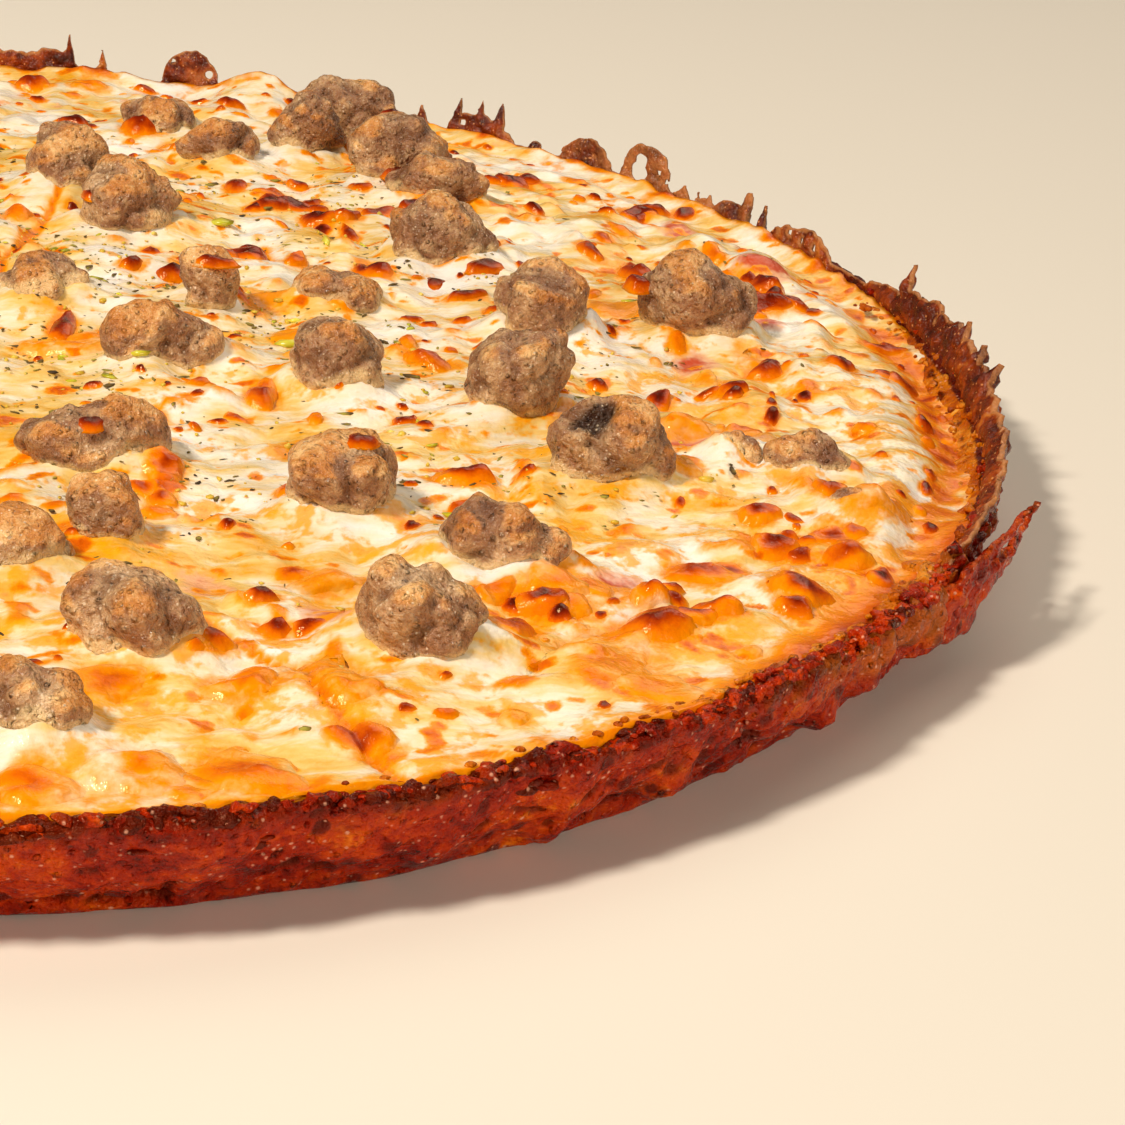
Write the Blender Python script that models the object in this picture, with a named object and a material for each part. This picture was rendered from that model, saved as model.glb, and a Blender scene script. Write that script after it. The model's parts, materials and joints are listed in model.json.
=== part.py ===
"""Pan pizza with sausage: a browned crust with a raised rim, a cheese layer that fills it, and chunks of
sausage half sunk in the cheese. The origin is the middle of the flat underside, in metres, with +Z up."""

import math
import random

import bmesh
import bpy
from mathutils import Matrix, Vector, noise

# Driving dimensions, in metres
PIZZA_RADIUS = 0.1525
FOOT_RADIUS = 0.1466
RIM_HEIGHT = 0.0147
DOUGH_TOP = 0.0080
CHEESE_TOP = 0.0132
RIM_WIDTH = 0.0034
WALL_SLOPE = 0.0041
GAP = 0.00035
STEPS = 60
RING_STEP = 0.0175
CHEESE_CALM = 0.1385

# The rim is cast in a pan, so it is nearly round, but its crest rises and falls and its edge wanders
CREST_RISE = 0.0007
OUTLINE_DRIFT = 0.0005
HUMP_HEIGHT = 0.0008
HUMP_LENGTH = 0.024

# On one side the filling has sunk away from the wall and leaves a trough inside the rim
TROUGH_ANGLE = math.radians(-12)
TROUGH_SPREAD = math.radians(26)
TROUGH_DEPTH = 0.0021
TROUGH_MIDDLE = 0.1455
TROUGH_HALF_WIDTH = 0.0085

# Chunks of sausage: distance from the middle and direction, then length, width, height and turn
MM = 0.001
SINK = 0.0030
CHUNK_LIST = (
    (65, 73, 17, 13, 15.0, 70),
    (113, 71, 13.5, 11, 9.5, 10),
    (98, 62, 15, 12, 12.0, -10),
    (49, 56, 17.5, 14, 14.0, 5),
    (113, 56, 14, 12, 15.0, 20),
    (132, 56, 20.5, 14, 15.5, 0),
    (112, 45, 19.5, 14, 15.5, 0),
    (105, 38, 17, 12, 12.0, -15),
    (83, 21, 18, 13, 13.5, 10),
    (37, 1, 11.5, 9, 13.5, 80),
    (37, -41, 16, 11.5, 11.5, 15),
    (13, 6, 14, 11, 9.0, 0),
    (57, 5, 13, 10, 8.5, 0),
    (61, -33, 14, 12, 13.0, 10),
    (87, -4, 16, 12.5, 13.0, 20),
    (86, -29, 15, 13.5, 15.5, -10),
    (112, -2, 18.5, 15.5, 15.5, -20),
    (104, -38, 18.5, 14, 14.5, 10),
    (65, -75, 18, 13, 11.5, 0),
    (88, -79, 11, 8.5, 10.5, 75),
    (95, -86, 13, 11, 10.0, 20),
    (90, -59, 14, 12.5, 12.0, 0),
    (111, -56, 16, 11, 10.0, -20),
    (125, -67, 13, 12.5, 12.5, 10),
    (116, -81, 13, 12, 11.5, 0),
    (133, -87, 12, 11.5, 10.5, 30),
    (128, -29, 11.5, 9, 10.0, 0),
    (117, -29, 7, 6, 7.0, 0),
    (135, -34, 7.5, 6.5, 6.5, -20),
)
CHUNKS_IN_ALL = 48
CHUNK_SPACING = 0.0215
CHUNK_REACH = 0.137
CHUNK_LOBES = 5
SEED = 12

# sRGB colours
CRUST_BROWN = "7A3014"
CHEESE_CREAM = "EFDDB0"
SAUSAGE_BROWN = "8A6A55"


def clear_scene():
    for old in list(bpy.data.objects):
        bpy.data.objects.remove(old)


def collection(name):
    made = bpy.data.collections.new(name)
    bpy.context.scene.collection.children.link(made)
    return made


def linear(channel):
    return channel / 12.92 if channel <= 0.04045 else ((channel + 0.055) / 1.055) ** 2.4


def material(name, colour, roughness):
    made = bpy.data.materials.new(name)
    made.use_nodes = True
    shader = made.node_tree.nodes["Principled BSDF"]
    channels = [linear(int(colour[i : i + 2], 16) / 255) for i in (0, 2, 4)]
    shader.inputs["Base Color"].default_value = (*channels, 1)
    shader.inputs["Roughness"].default_value = roughness
    shader.inputs["Metallic"].default_value = 0
    return made


def smooth_step(low, high, value):
    share = min(max((value - low) / (high - low), 0), 1)
    return share * share * (3 - 2 * share)


def crest_at(angle):
    """How far the rim stands above its mean height in this direction."""
    waves = math.sin(3 * angle + 0.7) + 0.7 * math.sin(7 * angle + 2.1) + 0.5 * math.sin(13 * angle)
    return CREST_RISE * waves / 2.2


def outline_at(angle):
    """How far the edge stands outside its mean radius in this direction."""
    return OUTLINE_DRIFT * (math.sin(5 * angle + 1.3) + math.sin(9 * angle + 0.4)) / 2


def trough_at(angle, radius):
    """How deep the surface inside the rim has sunk at this place."""
    turn = math.remainder(angle - TROUGH_ANGLE, 2 * math.pi) / TROUGH_SPREAD
    across = 1 - min(abs(radius - TROUGH_MIDDLE) / TROUGH_HALF_WIDTH, 1)
    return TROUGH_DEPTH * math.exp(-turn * turn) * smooth_step(0, 1, across)


def uneven(point):
    """The place of a point of the turned shape after baking. Both layers use it, so they keep their gap."""
    radius = math.hypot(point.x, point.y)
    angle = math.atan2(point.y, point.x)
    edge = smooth_step(0.75 * PIZZA_RADIUS, PIZZA_RADIUS, radius)
    risen = smooth_step(0, RIM_HEIGHT, point.z)
    rise = edge * risen * crest_at(angle)
    inside = smooth_step(DOUGH_TOP, CHEESE_TOP, point.z)
    drift = edge * risen * outline_at(angle)
    way = Vector((math.cos(angle), math.sin(angle), 0)) if radius > 0 else Vector()
    return point + way * drift + Vector((0, 0, rise - inside * trough_at(angle, radius)))


def cheese_surface(x, y):
    """The height of the cheese at this place, with its rolling humps."""
    radius = math.hypot(x, y)
    calm = 1 - smooth_step(0.90 * PIZZA_RADIUS, 0.97 * PIZZA_RADIUS, radius)
    hump = noise.noise(Vector((x, y, 0)) / HUMP_LENGTH)
    return uneven(Vector((x, y, CHEESE_TOP))).z + calm * HUMP_HEIGHT * hump


def turned(name, profile, home, finish):
    """A closed solid of revolution from a profile of (radius, height), then made uneven."""
    bm = bmesh.new()
    points = [bm.verts.new((radius, 0, height)) for radius, height in profile]
    edges = [bm.edges.new(pair) for pair in zip(points, points[1:])]
    bmesh.ops.spin(
        bm,
        geom=points + edges,
        cent=(0, 0, 0),
        axis=(0, 0, 1),
        angle=2 * math.pi,
        steps=STEPS,
        use_merge=True,
    )
    bmesh.ops.remove_doubles(bm, verts=bm.verts, dist=0.00001)
    bmesh.ops.recalc_face_normals(bm, faces=bm.faces)
    for vert in bm.verts:
        vert.co = uneven(vert.co)
    return add_object(name, bm, home, finish)


def add_object(name, bm, home, finish):
    mesh = bpy.data.meshes.new(name)
    bm.to_mesh(mesh)
    bm.free()
    mesh.shade_smooth()
    mesh.set_sharp_from_angle(angle=math.radians(50))
    mesh.materials.append(finish)
    made = bpy.data.objects.new(name, mesh)
    home.objects.link(made)
    return made


def build_crust(home):
    """The dough disc and its wall, which leans outwards to a narrow crest."""
    lip = PIZZA_RADIUS - RIM_WIDTH
    profile = (
        (0, 0),
        (FOOT_RADIUS - 0.0012, 0),
        (FOOT_RADIUS, 0.0010),
        (PIZZA_RADIUS - 0.0026, 0.0055),
        (PIZZA_RADIUS - 0.0007, 0.0100),
        (PIZZA_RADIUS, 0.0135),
        (PIZZA_RADIUS - 0.0012, RIM_HEIGHT),
        (lip, CHEESE_TOP - 0.0002),
        (lip - WALL_SLOPE, DOUGH_TOP),
        (0, DOUGH_TOP),
    )
    return turned("crust", profile, home, material("crust", CRUST_BROWN, 0.45))


def build_cheese(home):
    """The layer that fills the crust, a gap away from it, with rings close enough for its humps."""
    lip = PIZZA_RADIUS - RIM_WIDTH - 0.00045
    foot = lip - WALL_SLOPE + 0.0003
    floor = DOUGH_TOP + GAP
    rings = [0] + [RING_STEP * ring for ring in range(1, 8)] + [CHEESE_CALM]
    profile = [(0, floor), (foot, floor), (lip, CHEESE_TOP - 0.0002)]
    profile += [(ring, CHEESE_TOP) for ring in reversed(rings)]
    made = turned("cheese", profile, home, material("cheese", CHEESE_CREAM, 0.35))
    for vert in made.data.vertices:
        if vert.co.z > 0.5 * (DOUGH_TOP + CHEESE_TOP) and math.hypot(vert.co.x, vert.co.y) < CHEESE_CALM + GAP:
            vert.co.z = cheese_surface(vert.co.x, vert.co.y)
    return made


def chunk_mesh(sizes, turn, place, lobes):
    """A lump of sausage: a ball with rounded lobes, stretched to its sizes and set down at its place."""
    bm = bmesh.new()
    bmesh.ops.create_icosphere(bm, subdivisions=2, radius=1)
    for vert in bm.verts:
        way = vert.co.normalized()
        swell = max(0.30 * math.exp(5 * (way.dot(lobe) - 1)) for lobe in lobes)
        vert.co = way * (0.78 + swell)
        vert.co.z = max(vert.co.z, -0.8)
    low = [min(vert.co[i] for vert in bm.verts) for i in range(3)]
    high = [max(vert.co[i] for vert in bm.verts) for i in range(3)]
    middle = Vector([(low[i] + high[i]) / 2 for i in range(3)])
    fit = Matrix.Diagonal([sizes[i] / (high[i] - low[i]) for i in range(3)]).to_4x4()
    stand = Matrix.Translation(place) @ Matrix.Rotation(turn, 4, "Z")
    bmesh.ops.transform(bm, matrix=stand @ fit @ Matrix.Translation(-middle), verts=bm.verts)
    return bm


def random_lobe(rng):
    """The direction of a rounded lobe, mostly on the upper half."""
    way = Vector((rng.uniform(-1, 1), rng.uniform(-1, 1), rng.uniform(-0.3, 1)))
    return way.normalized()


def random_chunk(rng, placed):
    """A chunk for the far half, clear of all that lie there already."""
    while True:
        x = rng.uniform(-CHUNK_REACH, -0.004)
        y = rng.uniform(-CHUNK_REACH, CHUNK_REACH)
        near = any(math.dist((x, y), other) < CHUNK_SPACING for other in placed)
        if math.hypot(x, y) < CHUNK_REACH and not near:
            break
    sizes = [rng.uniform(12.5, 18.5), rng.uniform(10.5, 14), rng.uniform(10, 14.5)]
    return x, y, sizes, rng.uniform(0, 180)


def build_chunks(home):
    """The listed chunks, then seeded ones over the rest of the pizza."""
    rng = random.Random(SEED)
    finish = material("sausage", SAUSAGE_BROWN, 0.5)
    placed = []
    made = []
    for number in range(CHUNKS_IN_ALL):
        if number < len(CHUNK_LIST):
            distance, bearing, *sizes, turn = CHUNK_LIST[number]
            x = distance * MM * math.cos(math.radians(bearing))
            y = distance * MM * math.sin(math.radians(bearing))
        else:
            x, y, sizes, turn = random_chunk(rng, placed)
        placed.append((x, y))
        height = sizes[2] * MM
        place = Vector((x, y, cheese_surface(x, y) - SINK + height / 2))
        lobes = [random_lobe(rng) for _ in range(CHUNK_LOBES)]
        bm = chunk_mesh([size * MM for size in sizes], math.radians(turn), place, lobes)
        made.append(add_object(f"sausage_{number + 1:02d}", bm, home, finish))
    return made


def pocket_cutter(chunks, home):
    """All chunks in one helper mesh, swollen by the gap, to cut their pockets."""
    bm = bmesh.new()
    for chunk in chunks:
        bm.from_mesh(chunk.data)
    bm.normal_update()
    for vert in bm.verts:
        vert.co += vert.normal * GAP
    mesh = bpy.data.meshes.new("pockets")
    bm.to_mesh(mesh)
    bm.free()
    cutter = bpy.data.objects.new("pockets", mesh)
    cutter.hide_render = True
    cutter.display_type = "WIRE"
    home.objects.link(cutter)
    return cutter


def main():
    clear_scene()
    pizza = collection("pan_pizza")
    cutters = collection("cutters")
    build_crust(pizza)
    cheese = build_cheese(pizza)
    chunks = build_chunks(pizza)
    cut = cheese.modifiers.new("pockets", "BOOLEAN")
    cut.operation = "DIFFERENCE"
    cut.solver = "EXACT"
    cut.object = pocket_cutter(chunks, cutters)


main()
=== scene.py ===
"""Pan pizza with sausage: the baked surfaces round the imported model, laid out as a Blender add-on."""

import json
import math
import random

import bmesh
import bpy
import numpy as np
from bpy.props import FloatProperty, FloatVectorProperty, IntProperty, PointerProperty
from mathutils import Matrix, Vector, noise

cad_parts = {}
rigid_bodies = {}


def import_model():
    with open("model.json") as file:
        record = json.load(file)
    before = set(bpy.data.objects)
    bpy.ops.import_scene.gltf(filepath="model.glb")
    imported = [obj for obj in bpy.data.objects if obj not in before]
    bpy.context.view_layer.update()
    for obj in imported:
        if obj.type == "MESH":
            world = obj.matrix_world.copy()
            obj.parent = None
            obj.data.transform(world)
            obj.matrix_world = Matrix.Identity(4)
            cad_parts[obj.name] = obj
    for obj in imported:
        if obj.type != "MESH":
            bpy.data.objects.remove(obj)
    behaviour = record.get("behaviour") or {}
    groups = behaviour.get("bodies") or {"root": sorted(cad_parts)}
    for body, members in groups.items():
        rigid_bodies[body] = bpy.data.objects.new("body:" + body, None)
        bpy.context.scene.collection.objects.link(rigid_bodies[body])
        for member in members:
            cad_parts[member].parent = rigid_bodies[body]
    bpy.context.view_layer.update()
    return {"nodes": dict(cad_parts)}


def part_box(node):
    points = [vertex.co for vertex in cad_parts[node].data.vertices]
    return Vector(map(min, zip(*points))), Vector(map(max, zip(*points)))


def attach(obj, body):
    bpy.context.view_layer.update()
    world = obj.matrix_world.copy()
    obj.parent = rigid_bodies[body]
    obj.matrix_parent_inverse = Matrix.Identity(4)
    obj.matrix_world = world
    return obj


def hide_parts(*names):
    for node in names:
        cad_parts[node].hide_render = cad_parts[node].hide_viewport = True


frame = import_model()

bl_info = {
    "name": "Pan Pizza",
    "version": (1, 0, 0),
    "blender": (4, 5, 0),
    "location": "3D View > Sidebar > Pizza",
    "description": "Builds the crust, cheese, sausage and herbs of a pan pizza round its packed model",
    "category": "Mesh",
}

MM = 0.001

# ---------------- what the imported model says


def node_points(name):
    """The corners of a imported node's mesh, without doubles."""
    mesh = frame["nodes"][name].data
    points = np.empty(len(mesh.vertices) * 3, np.float32)
    mesh.vertices.foreach_get("co", points)
    return np.unique(np.round(points.reshape(-1, 3).astype(float), 6), axis=0)


CRUST_POINTS = node_points("crust")
CRUST_RADII = np.hypot(CRUST_POINTS[:, 0], CRUST_POINTS[:, 1])
RADIUS = CRUST_RADII.max()
FOOT_RADIUS = CRUST_RADII[CRUST_POINTS[:, 2] < 1.2 * MM].max()
RIM_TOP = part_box("crust")[1].z
CHEESE_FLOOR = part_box("cheese")[0].z
CHUNKS = sorted(name for name in frame["nodes"] if name.startswith("sausage_"))


def round_table(chosen, values):
    """A function of the angle that reads values given at some of the crust's corners."""
    angles = np.arctan2(CRUST_POINTS[chosen, 1], CRUST_POINTS[chosen, 0])
    order = np.argsort(angles)
    angles, values = angles[order], values[chosen][order]
    return lambda angle: np.interp(angle, angles, values, period=2 * math.pi)


CRUST_HEIGHTS = CRUST_POINTS[:, 2]
OUTLINE = round_table((CRUST_HEIGHTS > 0.85 * RIM_TOP) & (CRUST_RADII > RADIUS - 0.9 * MM), CRUST_RADII)
CREST = round_table((CRUST_HEIGHTS > 0.93 * RIM_TOP) & (CRUST_RADII > RADIUS - 2.2 * MM), CRUST_HEIGHTS)


def footprint(name):
    """A chunk's middle, its half length and half width as seen from above, and its turn."""
    points = node_points(name)[:, :2]
    middle = (points.min(0) + points.max(0)) / 2
    _, ways = np.linalg.eigh(np.cov((points - middle).T))
    along = (points - middle) @ ways
    halves = (along.max(0) - along.min(0)) / 2
    return np.array([*middle, halves[1], halves[0], math.atan2(ways[1, 1], ways[0, 1])])


FOOTPRINTS = np.array([footprint(name) for name in CHUNKS])

# ---------------- shape of the cheese

CHEESE_LEVEL = 13.2 * MM
CHEESE_EDGE = 2.3 * MM
HUMP_SIZE = 24 * MM
HUMP_HEIGHT = 0.8 * MM
PILLOW_SIZE = 15 * MM
PILLOW_HEIGHT = 2.9 * MM
FOLD_SIZE = 4.6 * MM
FOLD_HEIGHT = 1.15 * MM
SPECK_SIZE = 3.7 * MM
SPECK_HEIGHT = 0.8 * MM
CURD_SIZE = 2.4 * MM
CURD_HEIGHT = 0.32 * MM
MENISCUS_HEIGHT = 3.0 * MM
MENISCUS_WIDTH = 2.7 * MM
TROUGH_ANGLE = math.radians(-12)
TROUGH_SPREAD = math.radians(26)
TROUGH_DEPTH = 2.6 * MM
TROUGH_MIDDLE = RADIUS - 7.0 * MM
TROUGH_HALF_WIDTH = 7.5 * MM
CREASE_WIDTH = 1.0 * MM
CREASE_DEPTH = 1.0 * MM
# Where the wall is torn and most browned, and how far that reaches
TORN_ANGLE = math.radians(-42)
TORN_SPREAD = math.radians(16)

# Mounds of cheese and sauce: distance from the middle in mm, direction in degrees, radius and height in mm
MOUNDS = (
    (146, 66.5, 8, 5.2), (146, 80, 9, 1.8), (134, 12, 6, 3.8), (131, 17.5, 5, 3.6), (139, 14, 5, 1.5),
    (118, 23, 7, 1.5), (54, 75, 9, 1.5), (25, 2, 10, 2.0), (95, -84, 7, 1.2), (141, -22, 6, 0.8),
)
# Creases in the cheese, each from one place to another in mm
CREASES = (((34, -120), (43, -143)), ((24, -110), (34, -120)), ((7, 19), (27, 91)), ((4, -3), (7, 19)))


def noise_at(points, size, shift=0.0):
    """Smooth noise from -1 to 1 at each point, of about this size; each shift gives another pattern."""
    return np.array([noise.noise(point) for point in (points / size + shift).tolist()])


def polar(distance, bearing):
    """The x and y of a place given by its distance in mm and its direction in degrees."""
    return distance * MM * math.cos(math.radians(bearing)), distance * MM * math.sin(math.radians(bearing))


def step(low, high, value):
    """A smooth step from 0 at low to 1 at high."""
    share = np.clip((value - low) / (high - low), 0, 1)
    return share * share * (3 - 2 * share)


def bell(value, middle, width):
    """1 at the middle, falling to 0 on both sides."""
    return np.exp(-(((value - middle) / width) ** 2))


def flat_points(x, y):
    return np.stack([x, y, np.zeros_like(x)], 1)


def flat_noise(x, y, size, shift=0.0):
    return noise_at(flat_points(x, y), size, shift)


def outwards(angle):
    """The flat direction away from the middle, of length 1, at each angle."""
    return flat_points(np.cos(angle), np.sin(angle))


def turned_by(dx, dy, turn):
    """How far each step goes along a direction and across it."""
    return dx * math.cos(turn) + dy * math.sin(turn), dy * math.cos(turn) - dx * math.sin(turn)


def trough_turn(angle):
    """The angle from the trough's middle, from -pi to pi."""
    return (angle - TROUGH_ANGLE + math.pi) % (2 * math.pi) - math.pi


def ring_points(x, y, stretch):
    """The same places unrolled: along the ring, shortened by stretch, and outwards."""
    radius, angle = np.hypot(x, y), np.arctan2(y, x)
    around = radius.mean() + 60 * MM
    return np.stack([around * np.cos(angle) / stretch, around * np.sin(angle) / stretch, radius], 1)


def far_side(angle):
    """From 0 to 1, how far each direction is on the side where the cheese hides the crust's top."""
    degrees = np.degrees(angle)
    return step(4, 14, degrees) * (1 - step(84, 96, degrees))


def chunk_distance(x, y):
    """The distance from each place to the nearest chunk's edge, less than 0 inside it."""
    nearest = np.full(len(x), 1.0)
    for middle_x, middle_y, half_long, half_short, turn in FOOTPRINTS:
        along, across = turned_by(x - middle_x, y - middle_y, turn)
        share = np.hypot(along / half_long, across / half_short)
        nearest = np.minimum(nearest, (share - 1) * half_short)
    return nearest


def trough(x, y):
    """From 0 to 1, how far the filling has sunk away from the wall here."""
    wander = 2.6 * MM * flat_noise(x, y, 9 * MM, 49.0)
    across = 1 - np.clip(np.abs(np.hypot(x, y) - TROUGH_MIDDLE + wander) / TROUGH_HALF_WIDTH, 0, 1)
    return bell(trough_turn(np.arctan2(y, x)), 0, TROUGH_SPREAD) * step(0, 1, across)


def specks(x, y):
    """From 0 to 1, the small places where the cheese has bubbled and browned."""
    spots = flat_points(x, y)
    crowd = noise_at(spots, 23 * MM, 44.0) + 0.5 * step(0.6 * RADIUS, RADIUS, np.hypot(x, y))
    return step(0.30, 0.80, noise_at(spots * [0.8, 1, 1], SPECK_SIZE, 13.0) + 0.3 * crowd)


def creased(x, y):
    """From 0 to 1, how near each place is to the bottom of a crease."""
    bend_x, bend_y = (2.2 * MM * flat_noise(x, y, 9 * MM, shift) for shift in (35.0, 39.0))
    x, y = x + bend_x, y + bend_y
    found = np.zeros(len(x))
    for start, end in CREASES:
        start, way = np.array(start) * MM, (np.array(end) - start) * MM
        share = np.clip(((x - start[0]) * way[0] + (y - start[1]) * way[1]) / (way @ way), 0, 1)
        away = np.hypot(x - start[0] - share * way[0], y - start[1] - share * way[1])
        found = np.maximum(found, bell(away, 0, CREASE_WIDTH))
    return found


def mounded(x, y):
    """The height that the mounds add at each place."""
    found = np.zeros(len(x))
    for distance, bearing, radius, height in MOUNDS:
        middle_x, middle_y = polar(distance, bearing)
        found += height * MM * bell(np.hypot(x - middle_x, y - middle_y), 0, radius * MM)
    return found


def cheese_height(x, y):
    """The height of the melted cheese at each place."""
    radius, angle = np.hypot(x, y), np.arctan2(y, x)
    spots = flat_points(x, y)
    edge = step(0.86 * RADIUS, 0.955 * RADIUS, radius)
    bend = flat_points(noise_at(spots, 19 * MM, 31.0), noise_at(spots, 19 * MM, 57.0)) * 4 * MM
    pillows = np.abs(noise_at(spots + bend, PILLOW_SIZE, 5.0))
    pillows += 0.5 * np.abs(noise_at(spots + bend, PILLOW_SIZE / 2, 9.0))
    round_folds = noise_at(ring_points(x, y, 5.0), FOLD_SIZE, 3.0)
    free_folds = noise_at((spots + bend) * [0.45, 1, 1], FOLD_SIZE, 7.0)
    turned = step(0.55 * RADIUS, 0.8 * RADIUS, radius)
    relief = HUMP_HEIGHT * noise_at(spots, HUMP_SIZE)
    relief += PILLOW_HEIGHT * (np.minimum(pillows, 0.75) - 0.35)
    relief += FOLD_HEIGHT * (0.85 * turned * round_folds + 0.5 * (1 - turned) * free_folds)
    relief = (1 - 0.6 * edge) * relief + CURD_HEIGHT * noise_at(spots, CURD_SIZE, 11.0)
    relief += SPECK_HEIGHT * specks(x, y) * (1 - edge)
    drawn = 0.5 + 0.5 * noise_at(spots, 7 * MM, 21.0)
    gap = np.maximum(chunk_distance(x, y), 0)
    meniscus = MENISCUS_HEIGHT * (0.2 + 1.1 * drawn) * np.exp(-gap / MENISCUS_WIDTH)
    lip = 0.4 * MM * bell(radius, RADIUS - 13 * MM, 5 * MM)
    raised = 1.1 * (1 - bell(trough_turn(angle), 0, TROUGH_SPREAD))
    raised += far_side(angle) * (1.0 + 0.9 * noise_at(spots, 4 * MM, 19.0))
    lip += raised * MM * step(RADIUS - 9 * MM, RADIUS - 2.6 * MM, radius)
    rise = (CREST(angle) - RIM_TOP) * edge
    sunk = TROUGH_DEPTH * trough(x, y) + CREASE_DEPTH * creased(x, y)
    return CHEESE_LEVEL + relief + meniscus + mounded(x, y) + lip + rise - sunk


# ---------------- browned places on the cheese

# Distance from the middle in mm, direction in degrees, radius in mm, and how dark the middle is from 0 to 1
BROWNED = (
    (140, -46, 3.4, 0.9), (136, -51, 3.0, 1.0), (134, -55, 4.0, 0.9), (123, -58, 2.6, 1.0),
    (128, -47, 3.6, 0.8), (142, -8, 2.6, 0.9), (144, -1, 2.4, 0.9), (132, -33, 2.6, 0.9),
    (92, -47, 2.9, 1.0), (98, -50, 2.3, 0.9), (114, -16, 2.4, 1.0), (137, 28, 3.6, 1.0),
    (83, 46, 3.2, 1.0), (79, 48, 3.0, 1.0), (79, 40, 3.2, 1.0), (54, 32, 3.6, 1.0), (111, 41, 3.4, 1.0),
    (129, 39, 3.4, 1.0), (101, 35, 3.6, 1.0), (91, 38, 3.0, 0.9), (91, 24, 3.8, 1.0),
    (128, -52, 2.6, 0.9), (140, -40, 2.6, 0.8), (131, -41, 3.0, 0.9), (126, -38, 2.6, 0.9),
    (136, -38, 2.6, 0.8), (137, -60, 6.0, 0.45), (106, -67, 3.6, 0.4), (145, -79, 4.8, 0.6),
    (143, -83, 4.6, 0.45), (145, -87, 3.8, 0.6), (125, -83, 3.2, 0.6), (142, -74, 3.4, 0.75),
    (128, -73, 4.2, 0.45), (128, -77, 3.2, 0.6), (26, -51, 3.8, 0.4), (121, -56, 3.4, 0.5),
    (107, -35, 4.4, 0.4), (138, -33, 4.0, 0.45), (50, -13, 3.6, 0.4), (128, 4, 3.2, 1.0),
    (126, 6, 2.6, 1.0), (133, 4, 2.4, 0.9), (120, -10, 2.6, 1.0), (123, 13, 2.2, 1.0),
)
# Distance, direction and radius of the browned bubbles of cheese that sit on and against the sausage
TOPPED = (
    (105, 43, 3.0), (110, 40, 2.2), (94, 34, 2.8), (80, 25, 2.3), (86, 15, 2.8), (77, 14, 2.2),
    (37, -4, 2.4), (38, 29, 2.6), (67, 73, 2.2), (114, 50, 2.6), (113, 47, 2.2), (68, -76, 2.0),
    (90, -58, 2.1), (82, -55, 1.5), (44, 61, 1.8), (102, -2, 2.2), (45, 24, 2.6),
)
# Distance, direction and radius of places where oil has pooled, and where the sauce shows through
OILED = ((44, 6, 9), (50, -13, 6), (107, -35, 7), (140, -30, 5), (72, -53, 6), (95, -30, 6), (102, 4, 7))
SAUCED = (
    (135, 11, 7), (139, 16, 6), (146, 10, 3), (102, -74, 5), (115, -70, 4), (124, -52, 5), (110, -9, 5),
    (124, 0, 5), (110, -27, 7), (116, -26, 5), (104, -39, 4), (136, 23, 5),
)
# Distance, direction and radius of the whitest places, where fresh cheese has run together
WHITE = (
    (131, 17.5, 6.5), (36, -67, 11), (62, 9, 9), (117, 28, 8), (94, 19, 6), (58, -51, 8), (91, -54, 6),
    (143, -76, 6), (141, -83, 5), (130, -36, 5), (132, -30, 3.5), (134, -63, 6), (136, -88, 5),
    (94, -14, 6), (116, -42, 5), (21, 0, 8), (99, -71, 6), (130, -51, 5), (136, 5, 5), (128, 49, 7),
)
BROWNED_IN_ALL = 1000
# Turns each blister's outline a little further than the last, so that no two look alike
GOLDEN_ANGLE = 2.39996
POOLS_IN_ALL = 26


def browned_places():
    """Middle x and y, radius, darkness, stretch and turn of every blister, listed and then seeded."""
    rng = random.Random(41)
    made = [(*polar(distance, bearing), radius * MM, dark, rng.uniform(1.0, 1.5), rng.uniform(-0.5, 0.5))
            for distance, bearing, radius, dark in BROWNED]
    for x, y, radius, dark, _, turn in tuple(made):
        for _ in range(rng.choice((0, 1, 2, 3))):
            way, share = rng.uniform(-math.pi, math.pi), rng.uniform(0.45, 0.75)
            reach = radius * (0.75 + 0.75 * share)
            beside = x + reach * math.cos(way), y + reach * math.sin(way)
            made.append((*beside, radius * share, dark, 1.2, turn))
    while len(made) < BROWNED_IN_ALL:
        distance = (RADIUS - 6 * MM) * math.sqrt(rng.random())
        angle = rng.uniform(-math.pi, math.pi)
        x, y = distance * math.cos(angle), distance * math.sin(angle)
        radius = MM * min(0.6 + rng.expovariate(1.5), 3.2)
        rim_share = distance / RADIUS
        if rng.random() > 0.35 + 0.65 * rim_share:
            continue
        if any(math.dist((x, y), other[:2]) < 0.55 * (radius + other[2]) + 0.5 * MM for other in made):
            continue
        turned = angle + math.pi / 2 if rim_share > 0.6 else rng.uniform(0, math.pi)
        made.append((x, y, radius, rng.choice((0.35, 0.55, 0.75, 0.9, 1.0)), rng.uniform(1.0, 1.6), turned))
    return np.array(made)


def pooled_places(listed, seed):
    """Middle x, middle y and radius of the pools: the listed ones, then seeded ones on the other half."""
    rng = random.Random(seed)
    made = [(*polar(distance, bearing), radius * MM) for distance, bearing, radius in listed]
    while len(made) < POOLS_IN_ALL:
        x, y = rng.uniform(-RADIUS, -5 * MM), rng.uniform(-RADIUS, RADIUS)
        if math.hypot(x, y) < RADIUS - 12 * MM:
            made.append((x, y, rng.uniform(4, 8) * MM))
    return np.array(made)


BLISTERS = browned_places()
OIL_POOLS = pooled_places(OILED, 5)
SAUCE_POOLS = pooled_places(SAUCED, 6)
WHITE_POOLS = pooled_places(WHITE, 7)


def blister_share(x, y, blister):
    """How far each place is from a blister's middle, as a share of its radius in that direction."""
    middle_x, middle_y, radius, _, stretch, turn = blister
    along, across = turned_by(x - middle_x, y - middle_y, turn)
    return np.hypot(along / stretch, across * stretch**0.5) / radius


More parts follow.
